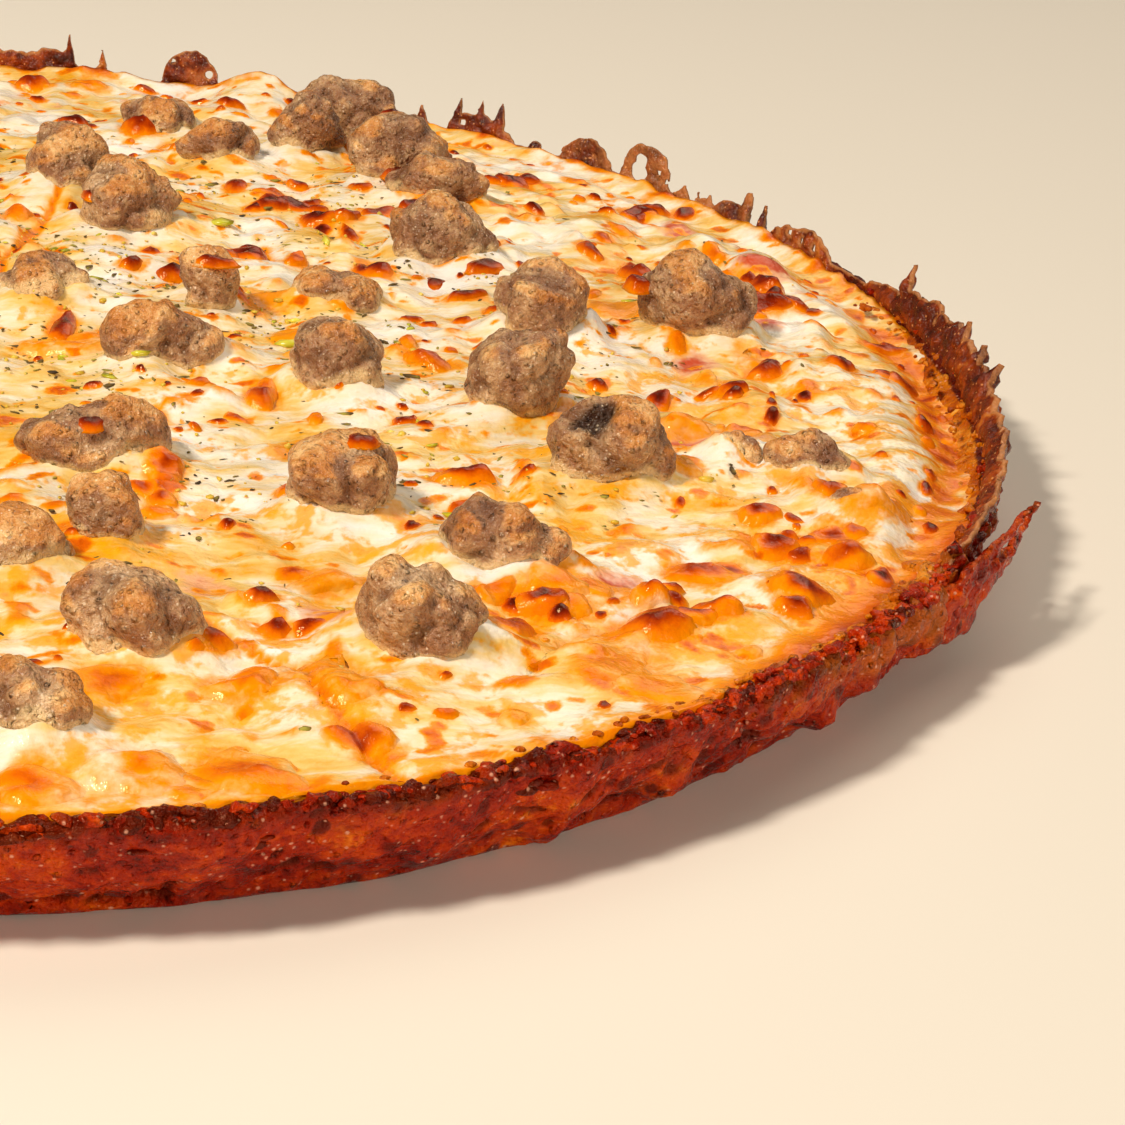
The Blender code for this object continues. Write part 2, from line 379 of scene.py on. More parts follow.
def blister_reach(x, y):
    """From 0 to 1, how browned each place is by the blisters round it."""
    found = np.zeros(len(x))
    for blister in BLISTERS:
        middle_x, middle_y, radius, dark = blister[:4]
        near = (np.abs(x - middle_x) < 4 * radius) & (np.abs(y - middle_y) < 4 * radius)
        uneven = 1 + 0.3 * flat_noise(x[near], y[near], 3 * MM, 63.0)
        share = blister_share(x[near], y[near], blister) * uneven
        halo = (0.22 + 0.16 * dark) * (1 - step(0.95, 1.7, share))
        found[near] = np.maximum(found[near], halo)
    return found


def pool_reach(pools, x, y):
    """From 0 to 1, how deep in a pool each place is."""
    found = np.zeros(len(x))
    for middle_x, middle_y, radius in pools:
        share = np.hypot(x - middle_x, y - middle_y) / radius
        found = np.maximum(found, 1 - step(0.2, 1.3, share))
    return found


def rim_browning(x, y):
    """From 0 to 1, how browned the cheese is by the hot rim, most of all towards the front right."""
    angle = np.arctan2(y, x)
    inwards = OUTLINE(angle) - CHEESE_EDGE - np.hypot(x, y)
    side = bell(angle, math.radians(-43), math.radians(14))
    wander = 0.5 + 0.5 * flat_noise(x, y, 8 * MM, 77.0)
    far = far_side(angle) * step(0.45, 0.75, wander + 0.3 * flat_noise(x, y, 3 * MM, 79.0))
    width = (0.9 + 1.2 * wander + 5.0 * side * (0.5 + wander) + 2.0 * far) * MM
    return np.exp(-((np.maximum(inwards, 0) / width) ** 1.4)) * (0.36 + 0.45 * side + 0.3 * far)


def browning(x, y):
    """From 0 to 1, how browned the cheese is at each place."""
    speckled = 0.62 * specks(x, y) * (0.8 + 0.35 * flat_noise(x, y, 11 * MM, 99.0))
    speckled *= 1 - 0.5 * step(-20 * MM, 60 * MM, y)
    sunk = trough(x, y) + 0.25 * flat_noise(x, y, 4 * MM, 81.0)
    amber = (0.44 + 0.42 * flat_noise(x, y, 3 * MM, 85.0)) * step(0.4, 0.65, sunk)
    kinds = [blister_reach(x, y), rim_browning(x, y), speckled, amber, 0.5 * creased(x, y)]
    return np.maximum.reduce(kinds) * (1 - 0.6 * pool_reach(WHITE_POOLS, x, y))


# ---------------- mesh helpers


def mesh_points(mesh):
    points = np.empty(len(mesh.vertices) * 3, np.float32)
    mesh.vertices.foreach_get("co", points)
    return points.reshape(-1, 3).astype(float)


def set_points(mesh, points):
    mesh.vertices.foreach_set("co", points.astype(np.float32).ravel())
    mesh.update()


def mesh_normals(mesh):
    normals = np.empty(len(mesh.vertices) * 3, np.float32)
    mesh.vertex_normals.foreach_get("vector", normals)
    return normals.reshape(-1, 3).astype(float)


def add_values(mesh, name, values):
    """A number at every corner of the mesh, which a material reads by this name."""
    layer = mesh.attributes.new(name, "FLOAT", "POINT")
    layer.data.foreach_set("value", values.astype(np.float32))


def add_cheese_values(mesh, x, y, brown):
    """What the cheese's material reads: browning, oil and sauce."""
    radius, white = np.hypot(x, y), pool_reach(WHITE_POOLS, x, y)
    ring = step(0.40 * RADIUS, 0.9 * RADIUS, radius) * (0.75 + 0.25 * np.cos(np.arctan2(y, x) + 1.0))
    far = step(-60 * MM, 40 * MM, y)
    oily = 0.34 - 0.12 * far - 0.04 * ring + 0.10 * ring * (1 - far)
    blush = 0.22 * step(0.55 * RADIUS, 0.8 * RADIUS, radius) * step(-60 * MM, 10 * MM, y)
    blush *= 1 - trough(x, y)
    add_values(mesh, "brown", brown)
    add_values(mesh, "oil", np.maximum(pool_reach(OIL_POOLS, x, y), oily) - 0.4 * white)
    add_values(mesh, "sauce", np.maximum(pool_reach(SAUCE_POOLS, x, y), blush) - 0.6 * white)


def finished_mesh(name, bm):
    mesh = bpy.data.meshes.new(name)
    bm.to_mesh(mesh)
    bm.free()
    mesh.shade_smooth()
    return mesh


def add_piece(name, mesh, slot, finish, *nodes):
    """Puts a finished mesh in the scene as a piece of the pizza."""
    mesh.materials.clear()
    mesh.materials.append(finish)
    piece = bpy.data.objects.new(name, mesh)
    bpy.context.scene.collection.objects.link(piece)
    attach(piece, "root")
    if nodes:
        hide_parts(*nodes)
    return piece


def copies(name, template, count):
    """One mesh that holds this many copies of a template bmesh, one after another."""
    single = bpy.data.meshes.new(name)
    template.to_mesh(single)
    template.free()
    made = bmesh.new()
    for _ in range(count):
        made.from_mesh(single)
    bpy.data.meshes.remove(single)
    return finished_mesh(name, made)


CURVE_STEPS = 24


def smooth_path(points, spacing):
    """Points at even spacing along a smooth curve through a few given points."""
    points = np.array(points, float)
    fine = []
    last = len(points) - 1
    for i in range(last):
        before, start, end, after = (points[min(max(i + k, 0), last)] for k in (-1, 0, 1, 2))
        square = 2 * before - 5 * start + 4 * end - after
        cube = 3 * start - before - 3 * end + after
        for t in np.linspace(0, 1, CURVE_STEPS, endpoint=False):
            fine.append(0.5 * (2 * start + (end - before) * t + square * t**2 + cube * t**3))
    fine = np.array([*fine, points[-1]])
    run = np.concatenate([[0], np.cumsum(np.hypot(*np.diff(fine, axis=0).T))])
    marks = np.linspace(0, run[-1], max(round(run[-1] / spacing), 1) + 1)
    return np.stack([np.interp(marks, run, fine[:, 0]), np.interp(marks, run, fine[:, 1])], 1)


# ---------------- materials


def linear(colour):
    """Linear RGBA from an sRGB hex colour."""
    channels = [int(colour[i : i + 2], 16) / 255 for i in (0, 2, 4)]
    return (*[c / 12.92 if c <= 0.04045 else ((c + 0.055) / 1.055) ** 2.4 for c in channels], 1.0)


def add(tree, kind, inputs, **settings):
    """Adds a shader node with its settings, and fills or links its inputs; a text is a hex colour."""
    node = tree.nodes.new("ShaderNode" + kind)
    for name, value in settings.items():
        setattr(node, name, value)
    for key, value in inputs.items():
        if isinstance(value, bpy.types.NodeSocket):
            tree.links.new(value, node.inputs[key])
        else:
            node.inputs[key].default_value = linear(value) if isinstance(value, str) else value
    return node


def mixed(tree, *parts):
    """The sum of some values, each times its weight. A text is the mesh's own values of that name."""
    total = None
    for value, weight in parts:
        if isinstance(value, str):
            value = add(tree, "Attribute", {}, attribute_name=value).outputs["Fac"]
        if weight != 1.0:
            value = add(tree, "Math", {0: value, 1: weight}, operation="MULTIPLY").outputs[0]
        if total is not None:
            value = add(tree, "Math", {0: total, 1: value}, operation="ADD").outputs[0]
        total = value
    return total


def centred(tree, *patterns):
    """Some patterns from 0 to 1, each moved down so that its middle is 0."""
    return [add(tree, "Math", {0: value, 1: 0.5}, operation="SUBTRACT").outputs[0] for value in patterns]


def palette(tree, stops, *parts):
    """Colours picked by the sum of the parts, from (place, hex colour) stops."""
    node = add(tree, "ValToRGB", {"Fac": mixed(tree, *parts)})
    bands = node.color_ramp.elements
    for _ in range(len(stops) - 2):
        bands.new(0.5)
    for band, (place, colour) in zip(bands, stops):
        band.position = place
        band.color = linear(colour)
    return node.outputs["Color"]


def painted(tree, under, over, low, high, most, *parts):
    """One colour over another: none of it where the sum of the parts is low, this much where it is high."""
    inputs = {0: mixed(tree, *parts), 1: low, 2: high, 3: 0.0, 4: most}
    share = add(tree, "MapRange", inputs, interpolation_type="SMOOTHSTEP").outputs[0]
    return add(tree, "Mix", {"Factor": share, 6: under, 7: over}, data_type="RGBA").outputs[2]


def pattern(tree, size, detail=2.0, roughness=0.5, squeeze=(1, 1, 1), shift=0.0):
    """Noise from 0 to 1 on the object's own coordinates, its features this many metres across."""
    place = add(tree, "TexCoord", {}).outputs["Object"]
    moved = add(tree, "Mapping", {"Vector": place, "Location": (shift, shift, 0), "Scale": squeeze})
    inputs = {"Vector": moved.outputs[0], "Scale": 1 / size, "Detail": detail, "Roughness": roughness}
    return add(tree, "TexNoise", inputs).outputs["Fac"]


def beads(tree, size, share, shift=0.0):
    """Scattered round beads, 1 at their middles and 0 from this share of the spacing outwards."""
    place = add(tree, "TexCoord", {}).outputs["Object"]
    moved = add(tree, "Mapping", {"Vector": place, "Location": (shift, 0, shift)})
    away = add(tree, "TexVoronoi", {"Vector": moved.outputs[0], "Scale": 1 / size}).outputs["Distance"]
    inputs = {0: away, 1: 0.0, 2: share, 3: 1.0, 4: 0.0}
    return add(tree, "MapRange", inputs, interpolation_type="SMOOTHSTEP").outputs[0]


def new_material(name, constants):
    """A node material, its tree and its Principled shader with these constants on its sockets."""
    made = bpy.data.materials.new(name)
    made.use_nodes = True
    shader = made.node_tree.nodes["Principled BSDF"]
    for socket, value in constants.items():
        shader.inputs[socket].default_value = linear(value) if isinstance(value, str) else value
    return made, made.node_tree, shader


def glossed(tree, shader, value, low, high):
    """Lets the roughness wander between two values with a pattern."""
    inputs = {0: value, 1: 0.3, 2: 0.7, 3: low, 4: high}
    wander = add(tree, "MapRange", inputs, interpolation_type="SMOOTHSTEP").outputs[0]
    tree.links.new(wander, shader.inputs["Roughness"])


def bumped(tree, shader, *layers):
    """Stacks bumps of (height, depth in metres, strength) on the shader."""
    above = {}
    for height, depth, strength in layers:
        bump = add(tree, "Bump", {"Height": height, "Distance": depth, "Strength": strength, **above})
        above = {"Normal": bump.outputs["Normal"]}
    tree.links.new(above["Normal"], shader.inputs["Normal"])


# The colours of each food, as shares of its pattern and sRGB colours
MILK = ((0.37, "F6F2EA"), (0.47, "F4E7CC"), (0.56, "EECA7A"), (0.66, "E6A422"))
BROWNING = (
    (0.0, "F8C868"), (0.22, "F8A406"), (0.42, "EE8400"), (0.56, "DA6400"),
    (0.68, "B64000"), (0.8, "862002"), (0.92, "5C1202"), (1.0, "440D02"),
)
FRIED = ((0.42, "620600"), (0.49, "8E1400"), (0.56, "AE2800"), (0.64, "CA4200"), (0.73, "E27008"))
AMBER = ((0.36, "8A3002"), (0.46, "BC5804"), (0.55, "DC7E0C"), (0.68, "F0B24C"))
MEAT = ((0.34, "785034"), (0.45, "9E6E4C"), (0.55, "BC9268"), (0.66, "E4C096"))
# Tan of the sausage's tops, lighter than the meat: partly toasting, partly painted light on the upward faces
MEAT_TOASTED = ((0.34, "B4682A"), (0.48, "D68E44"), (0.62, "F6C684"))
CRISP = ((0.36, "3E1206"), (0.48, "6C2408"), (0.58, "9E400C"), (0.68, "C87424"))
HERB = ((0.35, "3A280E"), (0.48, "6A541C"), (0.64, "A89C34"))
GRAIN = ((0.35, "C9A21E"), (0.55, "DDBB35"), (0.7, "EBD56A"))
PEPPER = ((0.35, "8A8A1C"), (0.5, "C4BE22"), (0.65, "E2DA4C"))


def melted_mozzarella():
    """Melted mozzarella, baked: milky and soft, with yellow oil, toasted blisters and a moist sheen."""
    made, tree, shader = new_material("melted_mozzarella_baked", {
        "Specular IOR Level": 0.32,
        "Specular Tint": "FFDCA8",
        "Subsurface Weight": 0.12,
        "Subsurface Radius": (1.0, 0.8, 0.5),
        "Subsurface Scale": 1.0 * MM,
    })
    broad = pattern(tree, 17 * MM)
    medium = pattern(tree, 5 * MM, 3.0, 0.6, shift=0.13)
    fine = pattern(tree, 1.1 * MM, 3.0, 0.6, shift=0.29)
    streaks = pattern(tree, 3.2 * MM, 3.0, 0.6, squeeze=(0.4, 1.2, 1), shift=0.41)
    grit = pattern(tree, 0.8 * MM, 2.0, 0.6, shift=0.53)
    spots = pattern(tree, 3.4 * MM, 1.0, 0.5, squeeze=(0.75, 1.1, 1), shift=0.67)
    broad_0, medium_0, fine_0 = centred(tree, broad, medium, fine)
    oil = mixed(tree, ("oil", 1.0), (medium_0, 1.5), (fine_0, 0.4))
    sauce = mixed(tree, ("sauce", 1.0), (medium_0, 1.7))
    colour = palette(tree, MILK, (broad, 0.55), (streaks, 0.45))
    colour = painted(tree, colour, "F6A800", 0.36, 0.54, 0.85, (oil, 1.0))
    colour = painted(tree, colour, "E88A00", 0.58, 0.80, 0.9, (oil, 1.0))
    colour = painted(tree, colour, "EBAA88", 0.3, 0.65, 0.7, (sauce, 1.0))
    colour = painted(tree, colour, "C63608", 0.62, 1.05, 0.9, (sauce, 1.0))
    spotty = mixed(tree, (spots, 1.0), (broad_0, 0.4), (fine_0, 0.12))
    inputs = {0: spotty, 1: 0.55, 2: 0.80, 3: 0.0, 4: 0.56}
    speckled = add(tree, "MapRange", inputs, interpolation_type="SMOOTHSTEP").outputs[0]
    toasted = add(tree, "Math", {0: mixed(tree, ("brown", 1.0)), 1: speckled}, operation="MAXIMUM").outputs[0]
    brown = mixed(tree, (toasted, 1.0), (mixed(tree, (fine_0, 0.22), (medium_0, 0.30)), 1.0))
    colour = painted(tree, colour, palette(tree, BROWNING, (brown, 1.0)), 0.05, 0.35, 1.0, (brown, 1.0))
    tree.links.new(colour, shader.inputs["Base Color"])
    glossed(tree, shader, medium, 0.12, 0.28)
    bumped(tree, shader, (medium, 1.0 * MM, 0.4), (streaks, 0.6 * MM, 0.2), (fine, 0.3 * MM, 0.4),
           (grit, 0.2 * MM, 0.5))
    return made


def caramelised_crust():
    """Cheese fried onto dough against a hot pan: dark red brown and pitted, glistening with fat; some of its
    glints are painted into the colour, and its pits carry partly painted shade.
    """
    made, tree, shader = new_material("crust_fried_cheese_caramelised", {
        "Specular IOR Level": 0.3,
        "Specular Tint": "FFB48C",
    })
    broad = pattern(tree, 13 * MM, squeeze=(1, 1, 1.8))
    medium = pattern(tree, 3.6 * MM, 3.0, 0.6, shift=0.17)
    fine = pattern(tree, 1.2 * MM, 3.0, 0.65, shift=0.31)
    grit = pattern(tree, 0.6 * MM, 2.0, 0.6, shift=0.47)
    broad_0, medium_0, fine_0 = centred(tree, broad, medium, fine)
    scorched = beads(tree, 4.5 * MM, 0.5, 0.21)
    # The glints are painted highlights: pale dots in the colour where light would catch beads of fat. They
    # and the bumped beads of fat are drawn larger than they are, because they would be too fine to show
    glints, fat = beads(tree, 1.2 * MM, 0.42), beads(tree, 1.8 * MM, 0.30)
    colour = palette(tree, FRIED, (broad, 0.4), (medium, 0.35), (fine, 0.35))
    colour = painted(tree, colour, "5E0800", 0.40, 0.75, 0.9, (scorched, 1.0), (fine_0, 1.0))
    # Darker in the wall's pits, hollows and deepest valleys: painted shade in the recesses, together with the
    # scorched colour of the hollows
    colour = painted(tree, colour, "420D02", 0.40, 0.10, 0.75, ("relief", 1.0))
    crest = mixed(tree, ("height", 1.0), (medium_0, 0.35), (broad_0, 0.35))
    colour = painted(tree, colour, "4A0D01", 0.70, 0.90, 0.9, (crest, 1.0))
    colour = painted(tree, colour, "C4661A", 0.45, 1.0, 0.6, ("tan", 1.0), (medium_0, 0.9), (fine_0, 0.5))
    amber = palette(tree, AMBER, (medium, 0.6), (broad, 0.4))
    colour = painted(tree, colour, amber, 0.40, 0.75, 0.95, ("inside", 1.0), (fine_0, 0.6))
    # Pale dots painted where beads of fat would glint: painted highlights
    colour = painted(tree, colour, "F0B090", 0.50, 1.15, 0.75, (glints, 1.0), (fine_0, 1.0), (medium_0, 1.4))
    tree.links.new(colour, shader.inputs["Base Color"])
    glossed(tree, shader, fine, 0.12, 0.28)
    bumped(tree, shader, (medium, 1.4 * MM, 0.8), (fine, 0.9 * MM, 0.9), (fat, 0.6 * MM, 0.9),
           (grit, 0.4 * MM, 0.8))
    return made


def cooked_sausage():
    """Crumbled pork sausage, cooked: grey brown and grainy, moist below, tan on top partly from toasting and
    partly as painted light, with painted shade in its hollows and underneath and painted glints.
    """
    made, tree, shader = new_material("sausage_pork_cooked", {
        "Specular IOR Level": 0.42,
        "Subsurface Weight": 0.08,
        "Subsurface Radius": (1.0, 0.5, 0.3),
        "Subsurface Scale": 0.8 * MM,
    })
    broad = pattern(tree, 6 * MM)
    medium = pattern(tree, 2.4 * MM, 3.0, 0.6, shift=0.19)
    fine = pattern(tree, 0.9 * MM, 3.0, 0.7, shift=0.37)
    grain = pattern(tree, 0.5 * MM, 2.0, 0.6, shift=0.51)
    broad_0, medium_0, fine_0 = centred(tree, broad, medium, fine)
    glints, juice = beads(tree, 0.9 * MM, 0.42), beads(tree, 1.1 * MM, 0.45)
    tone = mixed(tree, (broad, 0.42), (medium, 0.25), (fine, 0.33))
    colour = palette(tree, MEAT, (tone, 1.0))
    # Lighter tan on the upward-facing ridges: partly toasting, partly painted light on the tops
    toasted = palette(tree, MEAT_TOASTED, (tone, 1.0))
    colour = painted(tree, colour, toasted, 0.25, 0.95, 0.9, ("toast", 1.0), (medium_0, 0.5), (fine_0, 0.5))
    # Darker in the recesses and on the downward faces: painted shade
    colour = painted(tree, colour, "5E3014", 0.35, 1.0, 0.55, ("hollow", 1.0), (fine_0, 0.5))
    colour = painted(tree, colour, "2A1006", 0.2, 0.8, 0.9, ("char", 1.0))
    colour = painted(tree, colour, "F0CE94", 0.5, 1.05, 0.75, ("film", 1.0), (medium_0, 0.9))
    # Pale dots on the grain: painted glints of moisture
    colour = painted(tree, colour, "F4DCBC", 0.48, 1.05, 0.75, (glints, 1.0), (fine_0, 0.8), (broad_0, 1.2))
    tree.links.new(colour, shader.inputs["Base Color"])
    glossed(tree, shader, fine, 0.16, 0.34)
    bumped(tree, shader, (medium, 0.9 * MM, 0.6), (fine, 0.8 * MM, 0.8), (grain, 0.4 * MM, 0.8),
           (juice, 0.5 * MM, 0.9))
    return made


def fried_cheese_lace():
    """Cheese that has crisped on the pan's edge: thin, bubbly, amber at its edges and brown in its body."""
    made, tree, shader = new_material("crust_cheese_crisp", {
        "Roughness": 0.24,
        "Specular IOR Level": 0.35,
        "Subsurface Weight": 0.1,
        "Subsurface Scale": 0.5 * MM,
    })
    broad = pattern(tree, 7 * MM, shift=0.11)
    medium = pattern(tree, 2.2 * MM, 3.0, 0.6)
    fine = pattern(tree, 0.8 * MM, 3.0, 0.6, shift=0.23)
    broad_0, medium_0, fine_0 = centred(tree, broad, medium, fine)
    glints = beads(tree, 1.0 * MM, 0.40)
    colour = palette(tree, CRISP, (medium, 0.5), (broad, 0.5))
    colour = painted(tree, colour, "C0804A", 0.5, 1.1, 0.9, ("edge", 1.0), (fine_0, 0.5), (broad_0, 1.2))
    # Pale dots on the crisp: painted glints
    colour = painted(tree, colour, "E8A060", 0.45, 1.0, 0.8, (glints, 1.0), (fine_0, 1.0), (medium_0, 1.2))
    tree.links.new(colour, shader.inputs["Base Color"])
    bumped(tree, shader, (medium, 0.9 * MM, 0.8), (fine, 0.5 * MM, 0.9))
    return made


def dried_herb():
    """Oregano and basil, dried and chopped: matt, from scorched brown to olive green."""
    made, tree, shader = new_material("herb_oregano_dried", {"Roughness": 0.75})
    colour = palette(tree, HERB, (pattern(tree, 2.5 * MM), 1.0))
    tree.links.new(colour, shader.inputs["Base Color"])
    return made


def seasoning_grain():
    """Granulated garlic and cheese seasoning: small translucent yellow grains."""
    constants = {"Roughness": 0.4, "Subsurface Weight": 0.2, "Subsurface Scale": 0.5 * MM}
    made, tree, shader = new_material("seasoning_garlic_granulated", constants)
    colour = palette(tree, GRAIN, (pattern(tree, 3 * MM), 1.0))
    tree.links.new(colour, shader.inputs["Base Color"])
    return made


def chopped_pepper():
    """Pickled green pepper, chopped fine: moist bits between yellow and green."""
    constants = {"Roughness": 0.25, "Subsurface Weight": 0.2, "Subsurface Scale": 0.6 * MM}
    made, tree, shader = new_material("pepper_green_pickled", constants)
    colour = palette(tree, PEPPER, (pattern(tree, 6 * MM, 1.0), 1.0))
    tree.links.new(colour, shader.inputs["Base Color"])
    return made


# ---------------- sizes and colours a user may change


class PizzaCheese(bpy.types.PropertyGroup):
    """Sizes of the cheese."""

    cells: IntProperty(name="Cells", description="Cells across the cheese", default=300, min=20, max=310)
    blister_rise: FloatProperty(name="Blister rise", default=0.66,
                                description="A blister's height as a share of its radius")


class PizzaCrust(bpy.types.PropertyGroup):
    """Sizes of the crust."""

    spacing: FloatProperty(name="Spacing", description="Distance between mesh points on the wall",
                           default=0.6 * MM, unit="LENGTH")
    bubble: FloatProperty(name="Bubble height", description="Height of the bubbles on the wall",
                          default=0.9 * MM, unit="LENGTH")
    tooth: FloatProperty(name="Tooth height", description="Height of the teeth along the crest",
                         default=0.8 * MM, unit="LENGTH")
    crumbs: IntProperty(name="Crumbs", description="Number of fried lumps on the rim", default=2400)


class PizzaSausage(bpy.types.PropertyGroup):
    """Sizes of the sausage chunks."""

    lump: FloatProperty(name="Lump height", description="Height of the lumps of a chunk", default=1.5 * MM,
                        unit="LENGTH")
    grain: FloatProperty(name="Grain height", description="Height of the meat's grain", default=0.34 * MM,
                         unit="LENGTH")


class PizzaSeasoning(bpy.types.PropertyGroup):
    """Numbers of flecks, grains and bits."""

    flecks: IntProperty(name="Flecks", description="Number of herb flecks", default=2600)
    grains: IntProperty(name="Grains", description="Number of yellow grains", default=1500)
    bits: IntProperty(name="Bits", description="Number of green pepper bits", default=110)


class PizzaStage(bpy.types.PropertyGroup):
    """The floor and the lights."""

    floor: FloatVectorProperty(name="Floor", description="Colour of the floor", subtype="COLOR", size=4,
                               default=linear("E9E3D8"))
    key_power: FloatProperty(name="Key", description="Power of the key light in watts", default=10.8)
    fill_power: FloatProperty(name="Fill", description="Power of the fill light in watts", default=3.6)
    front_power: FloatProperty(name="Front", description="Power of the low front light in watts", default=6.0)


# ---------------- the crust

# Lumps that stick out of the wall: direction in degrees, height, radius and how far they stand out, in mm
WALL_LUMPS = (
    (-60, 4.5, 3.6, 2.0), (-66, 3.0, 4.5, 1.0), (-50, 5.0, 3.0, 2.2), (-46, 7.0, 4.5, 1.6),
    (-43, 10.0, 4.0, 2.0), (-40.5, 8.5, 4.5, 3.0), (-37.5, 10.0, 3.6, 2.8), (-72, 4.0, 4.0, 0.9),
    (-54, 9.0, 6.0, 1.2), (-81, 9.0, 5.0, 0.8), (-20, 9.0, 6.0, 1.0), (-8, 8.0, 6.0, 0.8),
    (-28, 8.0, 5.0, 1.2),
)
# Hollows left in the wall where a bubble met the pan: direction, height, half length, half height and depth
WALL_HOLLOWS = (
    (-83.5, 1.7, 4.5, 0.9, 2.2), (-86.5, 2.2, 2.5, 0.7, 1.6), (-78, 5.0, 1.6, 0.9, 1.2),
    (-70, 6.0, 1.4, 0.9, 1.0), (-64, 3.6, 3.0, 1.0, 1.4), (-56, 7.0, 2.4, 1.0, 1.4),
    (-62, 8.5, 1.8, 1.0, 1.2), (-44, 5.0, 3.0, 0.9, 1.2),
)


DOUGH_TOP = 8.0 * MM


def crust_profile(spacing):
    """The crust's section, from the middle of its underside round its wall to the middle of the dough."""
    under = [(RADIUS * share, 0) for share in (0, 0.3, 0.6, 0.85)]
    wall = smooth_path(
        (
            (FOOT_RADIUS - 1.0 * MM, 0),
            (FOOT_RADIUS + 0.2 * MM, 0.25 * MM),
            (FOOT_RADIUS + 1.1 * MM, 2.2 * MM),
            (RADIUS - 2.4 * MM, 6.0 * MM),
            (RADIUS - 0.7 * MM, 10 * MM),
            (RADIUS, 12.8 * MM),
            (RADIUS - 0.6 * MM, RIM_TOP - 1.4 * MM),
            (RADIUS - 1.5 * MM, RIM_TOP - 1.4 * MM),
            (RADIUS - 3.0 * MM, CHEESE_LEVEL - 0.9 * MM),
            (RADIUS - 7.4 * MM, DOUGH_TOP + 0.4 * MM),
        ),
        spacing,
    )
    dough = [(RADIUS * share, DOUGH_TOP) for share in (0.85, 0.5, 0)]
    return [*under, *wall.tolist(), *dough]


